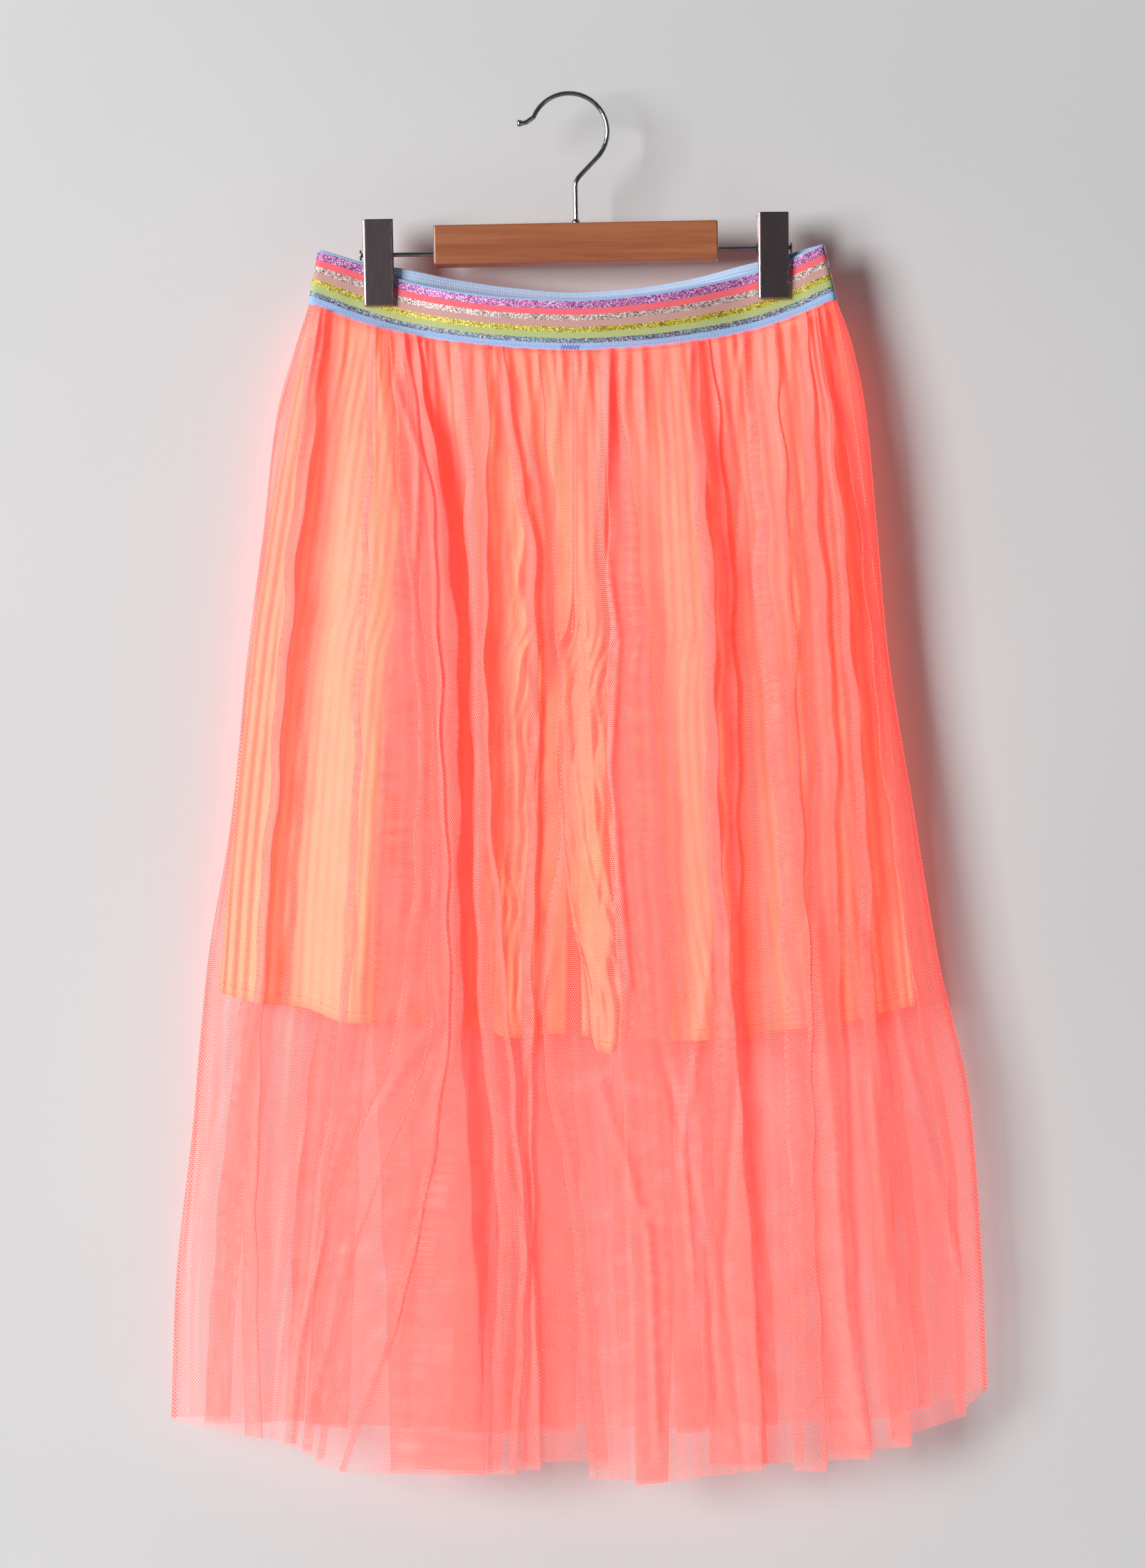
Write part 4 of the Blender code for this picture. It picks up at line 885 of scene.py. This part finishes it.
def band_ring(low_share):
    """The middle of the band all round at that height: front, right end, back, left end."""
    front, back = band_side(low_share, FRONT), band_side(low_share, BACK)
    turn = math.pi * np.arange(1, BAND_END_STEPS) / BAND_END_STEPS
    rounds = []
    for tip, (start, end) in zip(band_ends(low_share), ((back[0], front[0]), (front[-1], back[-1]))):
        around = blend(start, end, ((1 - np.cos(turn)) / 2)[:, None])
        around[:, 0] = blend(start[0], tip, np.sin(turn))
        tip_height = band_height(band_share(tip, low_share), low_share, FRONT)
        around[:, 2] = blend(around[:, 2], tip_height, np.sin(turn))
        rounds.append(around)
    return np.concatenate((front, rounds[1], back[::-1], rounds[0]))


def outward(ring):
    """The level direction square to each point of a ring."""
    ahead = np.roll(ring, -1, axis=0) - np.roll(ring, 1, axis=0)
    out = np.stack((ahead[:, 1], -ahead[:, 0], np.zeros(len(ring))), axis=1)
    return out / np.linalg.norm(out, axis=1)[:, None]


def band_wall():
    """Points of the closed band, its flat places, and which rows are lining."""
    shares = np.linspace(0.0, 1.0, BAND_ROWS + 1)
    rings = {share: band_ring(share) for share in shares}
    outer = [(share, 0.5) for share in shares]
    bottom = [(1.0, 0.5 - k / BAND_EDGE_STEPS) for k in range(1, BAND_EDGE_STEPS)]
    inner = [(share, -0.5) for share in shares[::-1]]
    top = [(0.0, -0.5 + k / BAND_EDGE_STEPS) for k in range(1, BAND_EDGE_STEPS)]
    path = [*outer, *bottom, *inner, *top]
    rows, places = [], []
    along = flat_width(np.concatenate((rings[0.0], rings[0.0][:1]))[None])[0, :-1]
    for share, out in path:
        edge = 1 - (2 * out) ** 2 if abs(out) < 0.5 else 0.0
        ring = rings[share] + outward(rings[share]) * out * BAND_THICK
        ring[:, 2] += (BAND_EDGE_ROUND if share == 0.0 else -BAND_EDGE_ROUND) * edge
        rows.append(ring)
        places.append(np.stack((along, np.full(len(along), share * BAND_HIGH)), axis=1))
    lining = np.zeros(len(path))
    lining[len(outer) + len(bottom) : -len(top)] = 1
    return np.array(rows), np.array(places), lining


def band_outside(x, low_share, side):
    """The point on the band's outer face at x."""
    share = band_share(x, low_share)
    y = side * (band_open(share, low_share) + BAND_THICK / 2)
    return np.array((x, y, band_height(share, low_share, side)))


# ---------------------------------------------------------------- the net's form


def net_sides(down):
    return look_up(SKIRT, "down", "left", down), look_up(SKIRT, "down", "right", down)


def net_open(x, down):
    """Half the opening between the net's front and back, without folds."""
    left, right = net_sides(down)
    share = np.clip((x - left) / (right - left), 0.0, 1.0)
    near_end = np.minimum(share, 1 - share)
    end_round = look_up(SKIRT, "down", "end_round", down)
    depth = np.maximum(look_up(SKIRT, "down", "depth", down), end_round)
    free = blend(end_round, depth, ease(near_end / NET_SWELL_SHARE))
    at_band = band_open(share, 1.0) + LAYER_STEP
    open_by = blend(at_band, np.maximum(free, at_band), ease(down / NET_FREE_BY))
    from_seam = np.clip(np.minimum(x - left, right - x) / end_round, 0.0, 1.0)
    return open_by * np.sqrt(1 - (1 - from_seam) ** 2)


def net_rows():
    """Share of the drop at each row of points."""
    return np.linspace(0.0, 1.0, NET_ROWS) ** NET_ROW_POWER


def down_folds(folds, names, heights, down):
    """For each fold, a smooth line down the cloth through the values in those columns."""
    return np.stack([curve(down, heights, [getattr(fold, name) for name in names]) for fold in folds])


def fold_lines(folds, side, down):
    """Where each fold turns back and where the next cloth sets off, how far out, and its lap."""
    edge = down_folds(folds, FOLD_PLACES, FOLD_HEIGHTS, down)
    lap = down_folds(folds, FOLD_LAPS, LAP_HEIGHTS, down)
    fade = ease(down / WANDER_FADE[0]) * ease((1 - down) / WANDER_FADE[1])
    for k in range(len(folds)):
        stray = ripple(down * WANDER_RUN + WANDER_SHIFT * k * side, WANDER_PERIODS)
        edge[k] += stray * blend(*WANDER_WIDTH, down) * fade
    over_left = np.array([fold.over == LEFT for fold in folds])[:, None]
    relief = np.array([fold.relief for fold in folds])[:, None]
    relief = relief * curve(down, FOLD_HEIGHTS, RELIEF_SHARES)[None, :]
    far, near = np.where(over_left, edge, edge + lap), np.where(over_left, edge - lap, edge)
    out_left, out_right = np.where(over_left, relief, 0.0), np.where(over_left, 0.0, relief)
    whole = [k for k, fold in enumerate(folds) if fold.relief >= SLIGHT_RELIEF]
    for k in sorted(set(range(whole[0], whole[-1])) - set(whole)):
        before, after = max(j for j in whole if j < k), min(j for j in whole if j > k)
        share = (edge[k] - near[before]) / (far[after] - near[before])
        rise = ease((share - RISE_AFTER) / (folds[after].rise_by - RISE_AFTER))
        slope = blend(out_right[before], out_left[after], rise)
        out_left[k] += slope
        out_right[k] += slope
    return far, near, out_left, out_right, lap


def flat_part(start, end, out_start, out_end, slack, down):
    """x and how far out of the columns between two folds, bowed a little by their slack."""
    width = np.mean(np.abs(end - start))
    share = np.linspace(0.0, 1.0, max(LEAST_FLAT_STEPS, round(width / NET_STEP)) + 1)[:, None]
    bow = slack * width * np.sin(math.pi * share) * ease(down / SLACK_BY)
    return blend(start, end, share), blend(out_start, out_end, share) + bow


def turned_part(far, near, out_far, out_near, lap):
    """x and how far out of the columns that turn under at a fold and back again."""
    third = (out_near - out_far) / 3
    turn = np.linspace(0.0, math.pi, TURN_STEPS + 2)[1:-1, None]
    lift = (1 - np.cos(turn)) / 2
    reach = np.minimum(np.abs(third) / 2, FOLD_EDGE) * np.sin(turn)
    back_steps = max(LEAST_LAP_STEPS, round(np.mean(lap) / (2 * NET_STEP)))
    back = np.linspace(0.0, 1.0, back_steps + 1)[:, None]
    x = np.concatenate((far + reach, blend(far, near, back), near - reach))
    return x, out_far + np.concatenate((third * lift, third + third * back, 2 * third + third * lift))


def folded_cloth(folds, side, down, left, right):
    """x and how far out of all the panel's points, and each column's height at the hem."""
    far, near, out_left, out_right, lap = fold_lines(folds, side, down)
    none = np.zeros((1, len(down)))
    starts, ends = np.vstack((left, near)), np.vstack((far, right))
    out_starts, out_ends = np.vstack((none, out_right)), np.vstack((out_left, none))
    hem_starts = [NET_SIDE_HEMS[0], *column(folds, "hem_right")]
    hem_ends = [*column(folds, "hem_left"), NET_SIDE_HEMS[1]]
    parts, hems = [], []
    for k in range(len(folds) + 1):
        parts.append(flat_part(starts[k], ends[k], out_starts[k], out_ends[k], SLACK[k % len(SLACK)], down))
        hems.append(np.linspace(hem_starts[k], hem_ends[k], len(parts[-1][0])))
        if k < len(folds):
            parts.append(turned_part(ends[k], starts[k + 1], out_ends[k], out_starts[k + 1], lap[k]))
            hems.append(np.linspace(hem_ends[k], hem_starts[k + 1], len(parts[-1][0])))
    x, out = (np.concatenate(part).T for part in zip(*parts))
    return x, out, np.concatenate(hems)


def net_panel(folds, side):
    """Points of one net panel, folded, and their places on the flat cloth."""
    down = net_rows()
    downs = down[:, None]
    left, right = net_sides(down)
    x, out, hem = folded_cloth(folds, side, down, left, right)
    flat = flat_width(np.stack((x, out), axis=2))
    cloth_width = float(np.mean(flat[:, -1]))
    flat = flat / flat[:, -1:] * cloth_width
    middle = flat[NET_ROWS // 2]
    for_length, for_height, for_creases = (middle + shift * side for shift in GATHER_SHIFTS)
    length_share = ease(ripple(for_length, GATHER_PERIODS[::-1]) / 2 + 0.5)
    fade = np.exp(-downs / blend(*GATHER_SHARE, length_share)) * ease(downs / SEW_ON_BY)
    out = out + GATHER_HEIGHT * fade * (1 + ripple(for_height, GATHER_PERIODS)) / 2
    out = out + tuck_height(x, downs * NET_DROP, side) * ease(downs / SEW_ON_BY)
    out = out + CREASE_HEIGHT * ease(downs / CREASES_BY) * ripple(for_creases, CREASE_PERIODS)
    off_side = ease(np.minimum(x - left[:, None], right[:, None] - x) / NET_SIDE_FADE)
    top = band_height(band_share(x[0]), 1.0, side) + SEAM_LAP
    z = blend(top[None, :], hem[None, :], downs)
    out = (out + crease_height(x * -side, z, NET_CREASES)) * off_side
    open_by = net_open(x, np.broadcast_to(downs, x.shape))
    points = np.stack((x, side * (open_by + out), z), axis=2)
    length = float(np.mean(top - hem))
    places = np.stack((flat, np.broadcast_to(downs * length, flat.shape)), axis=2)
    return points, places, cloth_width, length


def crowding(points, side):
    """Millimetres of net behind each millimetre seen: gathered or turned away, it is denser."""
    steps = np.diff(points[:, :, :2], axis=1)
    lengths = np.linalg.norm(steps, axis=2)
    gathered = lengths[-1].sum() / lengths.sum(axis=1)
    ratio = gathered[:, None] * lengths / np.maximum(np.abs(steps[:, :, 0]), LEAST_SEEN * lengths)
    ratio = np.concatenate((ratio[:, :1], ratio), axis=1)
    fullness = look_up(FULLNESS, "x", "ratio", -side * points[:, :, 0])
    thinning = 1 - HEM_THINNING * ease((net_rows()[:, None] - THIN_FROM) / THIN_OVER)
    return np.clip((ratio + np.roll(ratio, -1, axis=1)) / 2 * fullness * thinning, *CROWD_LIMITS)


# ---------------------------------------------------------------- the shorts' form


def ridge_height(x, down):
    """How far the soft ridges carry the shorts outward there."""
    total = np.zeros_like(x)
    for ridge in SHORTS_RIDGES:
        crest = curve(down, (0.0, 0.5, 1.0), (ridge.band, ridge.thigh, ridge.hem))
        crest = crest + CREST_STRAY * ripple(down * CREST_RUN + ridge.band, CREST_PERIODS)
        reach = (x - crest) / np.where(x < crest, ridge.left, ridge.right)
        total += ridge.height * np.where(np.abs(reach) < 1, np.cos(reach * math.pi / 2) ** 2, 0.0)
    return total - SHORTS_VALLEY


def pleat_relief(share, downs, pleats, inside):
    """How far the pressed pleats stand in and out, deeper at the side and the inside."""
    at_side = ease((SIDE_PLEATS_FROM - share) / SIDE_PLEATS_OVER)
    at_inside = ease((share - INSIDE_PLEATS_FROM) / INSIDE_PLEATS_OVER) * inside
    stray = PLEAT_STRAY * at_inside * ripple(downs * STRAY_RUN, STRAY_PERIODS)
    zigzag = np.abs((share * pleats + stray) % 1.0 - 0.5) * 4 - 1
    deeper = 1 + (SIDE_PLEATS - 1) * at_side + (INSIDE_PLEATS - 1) * at_inside
    return PLEAT_HEIGHT * deeper * zigzag * ease(downs / PLEATS_BY)


def wrap_round(leg, start, end, heights):
    """The strip of a leg's back that comes round its inside to meet the front."""
    share = np.linspace(0.0, 1.0, WRAP_STEPS + 1)[None, 1:]
    reach = (end - start)[:, None]
    bow = WRAP_BOW[leg] * np.sin(math.pi * share) * ease(np.abs(reach) / WRAP_FADE)
    return np.stack((start[:, None] + reach * share, bow, np.repeat(heights, WRAP_STEPS, axis=1)), axis=2)


def leg_panel(leg, side):
    """Points of a leg's front or back, pleated, left to right."""
    down = np.linspace(0.0, 1.0, SHORTS_ROWS)
    outer, back_inner, front_inner = (
        look_up(LEGS, "down", f"{leg}_{place}", down) for place in ("side", "inner", "front")
    )
    inner = front_inner if side == FRONT else back_inner
    reach = np.abs(inner - outer)
    pleats = round(float(np.mean(reach)) / PLEAT_PITCH)
    columns = pleats * PLEAT_STEPS
    share = np.linspace(0.0, 1.0, columns + 1)
    downs = np.broadcast_to(down[:, None], (SHORTS_ROWS, columns + 1))
    x = outer[:, None] + (inner - outer)[:, None] * share[None, :]
    joined = look_up(LEGS, "down", "joined", downs)
    depth = look_up(LEGS, "down", "depth", downs)
    from_side = blend(SHORTS_END_ROUND, depth, ease(share / SIDE_SWELL_SHARE))
    from_inside = blend(SHORTS_MIDDLE_ROUND, depth, ease((1 - share) / INSIDE_SWELL_SHARE))
    free = np.minimum(from_side, blend(depth, from_inside, joined))
    along_band = band_share(x[0])
    at_band = band_open(along_band, 1.0) - LAYER_STEP
    open_by = blend(at_band[None, :], free, ease(downs / SHORTS_FREE_BY))
    rise = ridge_height(x, downs) * ease((downs - RIDGES_FROM) / RIDGES_OVER)
    rise = rise * ease(np.minimum(share, 1 - share) / RIDGE_SIDE_FADE)
    hem = look_up(LEG_HEMS[leg, side], "x", "height", x[-1])
    top = band_height(along_band, 1.0, side) + SEAM_LAP
    z = blend(top[None, :], hem[None, :], downs)
    room = np.maximum(net_open(x, downs * SHORTS_LONG_SHARE) - SHORTS_CLEAR, SHORTS_LEAST_OPEN)
    creases = crease_height(x * -side, z, SHORTS_CREASES) * ease(room / SHORTS_CREASE_ROOM)
    pleat = pleat_relief(share[None, :], downs, pleats, joined * (side == FRONT))
    open_by = np.clip(open_by + rise, SHORTS_LEAST_OPEN, room) + pleat + creases
    from_edge = np.minimum(share, blend(1.0, 1 - share, joined)) * reach[:, None]
    rounding = np.clip(from_edge / SHORTS_END_ROUND, 0.0, 1.0)
    open_by = open_by * np.sqrt(1 - (1 - rounding) ** 2)
    points = np.stack((x, side * open_by, z), axis=2)
    if side == BACK:
        points = np.concatenate((points, wrap_round(leg, back_inner, front_inner, z[:, -1:])), axis=1)
        downs = np.broadcast_to(down[:, None], points.shape[:2])
    if leg == "right":
        points = points[:, ::-1]
    flat = flat_width(points)
    cloth_width = float(np.mean(flat[:, -1]))
    length = float(np.mean(top - hem))
    places = np.stack((flat / flat[:, -1:] * cloth_width, downs * length), axis=2)
    return points, places, cloth_width, length


def hem_stitches(points, side):
    """Ends of the stitches that run just above a leg's hem."""
    last = len(points) - 1
    up = HEM_STITCH_UP / abs(points[-1, 0, 2] - points[0, 0, 2]) * last
    k = last - math.ceil(up)
    share = 1 - (up - int(up))
    line = blend(points[k], points[k + 1], share if share < 1 else 0.0)
    out = np.array((0.0, side, 0.0))
    lift = out * (SHORTS_THICK / 2 + HEM_STITCH_CLEAR)
    ends = []
    for j in range(1, len(line) - 2, 2):
        start, end = (blend(line[j], line[j + 1], at) + lift for at in HEM_STITCH_ENDS)
        ends.append((start, end, out))
    return ends


# ---------------------------------------------------------------- settings


class SkortSettings(bpy.types.PropertyGroup):
    """Sizes and colours of the skort that a user would change."""

    mesh_pitch: FloatProperty(
        name="Mesh pitch", description="From hole to hole of the net",
        default=0.0015, min=0.0008, max=0.006, precision=4, unit="LENGTH",
    )
    net_colour: FloatVectorProperty(
        name="Net colour", description="Colour of the net's thread",
        default=(1.0, 0.157, 0.130), min=0.0, max=1.0, size=3, subtype="COLOR",
    )
    # Painted glow: colour of the light the net gives off itself, which keeps its red full in shade.
    net_painted_glow: FloatVectorProperty(
        name="Net glow", description="What the net's neon dye gives back of light that is not seen",
        default=(1.0, 0.03, 0.026), min=0.0, max=1.0, size=3, subtype="COLOR",
    )
    shorts_colour: FloatVectorProperty(
        name="Shorts colour", description="Colour of the pleated cloth",
        default=(1.0, 0.338, 0.160), min=0.0, max=1.0, size=3, subtype="COLOR",
    )
    # Painted glow: colour of the light the shorts give off themselves, which keeps their red full in shade.
    shorts_painted_glow: FloatVectorProperty(
        name="Shorts glow", description="What the shorts' neon dye gives back of light that is not seen",
        default=(1.0, 0.03, 0.012), min=0.0, max=1.0, size=3, subtype="COLOR",
    )
    # Strength of the painted glow on the net and the shorts.
    painted_glow: FloatProperty(
        name="Glow", description="Strength of the neon dyes", default=0.55, min=0.0, max=1.0,
    )
    paper_colour: FloatVectorProperty(
        name="Paper colour", description="Colour of the plain backdrop",
        default=(0.385, 0.382, 0.385), min=0.0, max=1.0, size=3, subtype="COLOR",
    )
    key_power: FloatProperty(
        name="Key light", description="Power of the soft light at the left",
        default=692.0, min=0.0, unit="POWER",
    )
    surround: FloatProperty(
        name="Surrounding light", description="Strength of the even light all round",
        default=0.12, min=0.0,
    )
    see_through_layers: IntProperty(
        name="Layers seen through", description="How many layers of net light passes",
        default=24, min=8, max=64,
    )


def fasten(thing):
    """Gives a piece its place in the frame."""
    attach(thing, "root")
    return thing


# ---------------------------------------------------------------- operators


class SKORT_OT_stage(bpy.types.Operator):
    """Adds the camera, soft lights, and a pale floor that sweeps up into a backdrop"""

    bl_idname = "skort.stage"
    bl_label = "Camera and stage"

    def execute(self, context):
        scene, settings = context.scene, context.scene.skort
        camera = bpy.data.objects.new("camera", bpy.data.cameras.new("camera"))
        camera.location = CAMERA_PLACE
        camera.rotation_euler = (math.radians(90), 0.0, 0.0)
        camera.data.lens = CAMERA_LENS
        camera.data.sensor_fit = "AUTO"
        scene.collection.objects.link(camera)
        scene.camera = camera
        scene.view_settings.view_transform = "Standard"
        scene.cycles.transparent_max_bounces = settings.see_through_layers
        self.lights(scene, settings)
        self.paper(settings)
        return {"FINISHED"}

    def lights(self, scene, settings):
        world = bpy.data.worlds.new("surrounding_light")
        world.use_nodes = True
        background = world.node_tree.nodes["Background"]
        background.inputs["Color"].default_value = SKY
        background.inputs["Strength"].default_value = settings.surround
        scene.world = world
        for lamp in LAMPS:
            data = bpy.data.lights.new(lamp.name, "AREA")
            data.shape = "RECTANGLE"
            data.size, data.size_y = lamp.size
            data.energy = settings.key_power * lamp.share
            thing = bpy.data.objects.new(lamp.name, data)
            thing.location = lamp.place
            ahead = Vector(lamp.aim) - Vector(lamp.place)
            thing.rotation_euler = ahead.to_track_quat("-Z", "Y").to_euler()
            scene.collection.objects.link(thing)

    def paper(self, settings):
        half, top = WALL_SIZE[0] / 2, WALL_SIZE[1] + FLOOR_HEIGHT
        corner = FLOOR_HEIGHT + SWEEP_RADIUS
        lean = (WALL_BEHIND[0] - WALL_BEHIND[1]) / HEM_BELOW_HOOK
        foot = WALL_BEHIND[0] + lean * corner
        outline = [(-WALL_SIZE[0], FLOOR_HEIGHT), (foot - SWEEP_RADIUS, FLOOR_HEIGHT)]
        for k in range(1, SWEEP_STEPS + 1):
            turn = math.pi / 2 * k / SWEEP_STEPS
            y = foot - SWEEP_RADIUS * (1 - math.sin(turn))
            outline.append((y, corner - SWEEP_RADIUS * math.cos(turn)))
        outline.append((WALL_BEHIND[0] + lean * top, top))
        points = [(x, y, z) for y, z in outline for x in (-half, half)]
        faces = [(2 * k, 2 * k + 1, 2 * k + 3, 2 * k + 2) for k in range(len(outline) - 1)]
        mesh = bpy.data.meshes.new("backdrop")
        mesh.from_pydata(points, [], faces)
        mesh.shade_smooth()
        paper = add_piece("backdrop", mesh, [stage_material(settings)])
        paper.visible_shadow = False


class SKORT_OT_waistband(bpy.types.Operator):
    """Adds the striped elastic band with its stitches"""

    bl_idname = "skort.waistband"
    bl_label = "Elastic band"

    def execute(self, context):
        points, places, lining = band_wall()
        skins = np.repeat(lining, points.shape[1])
        materials = [elastic_material(), band_lining_material()]
        band = grid_object("elastic_band", points, places, materials, around=True, skins=skins)
        fasten(band)
        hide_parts("waistband")
        pieces = [self.sewing(), self.tack()]
        length = float(np.sum(np.linalg.norm(np.diff(band_ring(0.5), axis=0), axis=1)))
        return {"FINISHED"}

    def sewing(self):
        ends = []
        for side in (FRONT, BACK):
            for x in np.arange(*STITCHED_X, STITCH_PITCH):
                first = band_outside(x, BAND_STITCH_DOWN, side)
                second = band_outside(x + STITCH_LONG, BAND_STITCH_DOWN, side)
                ends.append((first, second, (0.0, side, 0.0)))
        thread = thread_material("blue_thread", "b4cdf6")
        return fasten(stitches("band_stitches", ends, BAND_THREAD, thread))

    def tack(self):
        ends = []
        for k in range(TACK_THREADS):
            x = blend(*TACK_X, k / (TACK_THREADS - 1))
            lean = TACK_LEAN if k % 2 else -TACK_LEAN
            upper = band_outside(x - lean, TACK_DOWN[0], FRONT)
            ends.append((upper, band_outside(x + lean, TACK_DOWN[1], FRONT), (0.0, FRONT, 0.0)))
        thread = thread_material("purple_thread", "8f88dc")
        return fasten(stitches("band_tack", ends, TACK_THREAD, thread))


class SKORT_OT_net_skirt(bpy.types.Operator):
    """Adds the front and back of the gathered net skirt"""

    bl_idname = "skort.net_skirt"
    bl_label = "Net skirt"

    def execute(self, context):
        material = net_material(context.scene.skort)
        for name, folds, side, node in (
            ("net_front", FRONT_FOLDS, FRONT, "tulle_front"),
            ("net_back", BACK_FOLDS, BACK, "tulle_back"),
        ):
            points, places, width, length = net_panel(folds, side)
            panel = grid_object(name, points, places, [material])
            layer = panel.data.attributes.new("crowding", "FLOAT", "POINT")
            layer.data.foreach_set("value", crowding(points, side).astype(np.float32).ravel())
            panel.visible_shadow = side == FRONT  # one layer's shade is enough for sheer threads
            fasten(panel)
            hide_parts(node)
        return {"FINISHED"}


class SKORT_OT_shorts(bpy.types.Operator):
    """Adds the four panels of the pleated shorts and their hem stitches"""

    bl_idname = "skort.shorts"
    bl_label = "Pleated shorts"

    def execute(self, context):
        material = shorts_material(context.scene.skort)
        thread = thread_material("coral_thread", "ff8f66")
        for leg in ("left", "right"):
            for side, face in ((FRONT, "front"), (BACK, "back")):
                points, places, width, length = leg_panel(leg, side)
                panel = grid_object(f"{leg}_leg_{face}", points, places, [material])
                wall = panel.modifiers.new("thickness", "SOLIDIFY")
                wall.thickness = SHORTS_THICK * MM
                wall.offset = 0.0
                fasten(panel)
                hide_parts(f"shorts_{leg}_{face}")
                ends = hem_stitches(points, side)
                sewing = stitches(f"{leg}_{face}_hem_stitches", ends, HEM_THREAD, thread)
                fasten(sewing)
        return {"FINISHED"}


class SKORT_OT_hanger(bpy.types.Operator):
    """Gives the hanger's wood, rod, hook and clips their finishes"""

    bl_idname = "skort.hanger"
    bl_label = "Hanger finishes"

    def execute(self, context):
        chrome, plate = metal_material("chrome", CHROME), metal_material("clip_plate", CLIP_PLATE)
        finishes = {"hanger_bar": wood_material()}
        finishes.update(dict.fromkeys(("hanger_rod", "hanger_hook", "hook_ferrule"), chrome))
        for hand in ("left", "right"):
            finishes[f"clip_{hand}_spring"] = chrome
            finishes.update(dict.fromkeys((f"clip_{hand}_front", f"clip_{hand}_back"), plate))
        for node, material in finishes.items():
            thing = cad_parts[node]
            thing.data.materials.clear()
            thing.data.materials.append(material)
        return {"FINISHED"}


class SKORT_PT_panel(bpy.types.Panel):
    """Lists the pieces of the skort and their settings"""

    bl_idname = "SKORT_PT_panel"
    bl_label = "Skort"
    bl_space_type = "VIEW_3D"
    bl_region_type = "UI"
    bl_category = "Skort"

    def draw(self, context):
        for operator in OPERATORS:
            self.layout.operator(operator.bl_idname)
        for name in SkortSettings.__annotations__:
            self.layout.prop(context.scene.skort, name)


OPERATORS = (
    SKORT_OT_stage, SKORT_OT_waistband, SKORT_OT_net_skirt, SKORT_OT_shorts, SKORT_OT_hanger,
)
CLASSES = (SkortSettings, *OPERATORS, SKORT_PT_panel)


def register():
    for each in CLASSES:
        bpy.utils.register_class(each)
    bpy.types.Scene.skort = PointerProperty(type=SkortSettings)


def unregister():
    del bpy.types.Scene.skort
    for each in reversed(CLASSES):
        bpy.utils.unregister_class(each)


def main():
    register()
    bpy.ops.skort.stage()
    bpy.ops.skort.waistband()
    bpy.ops.skort.net_skirt()
    bpy.ops.skort.shorts()
    bpy.ops.skort.hanger()


if __name__ == "__main__":
    main()
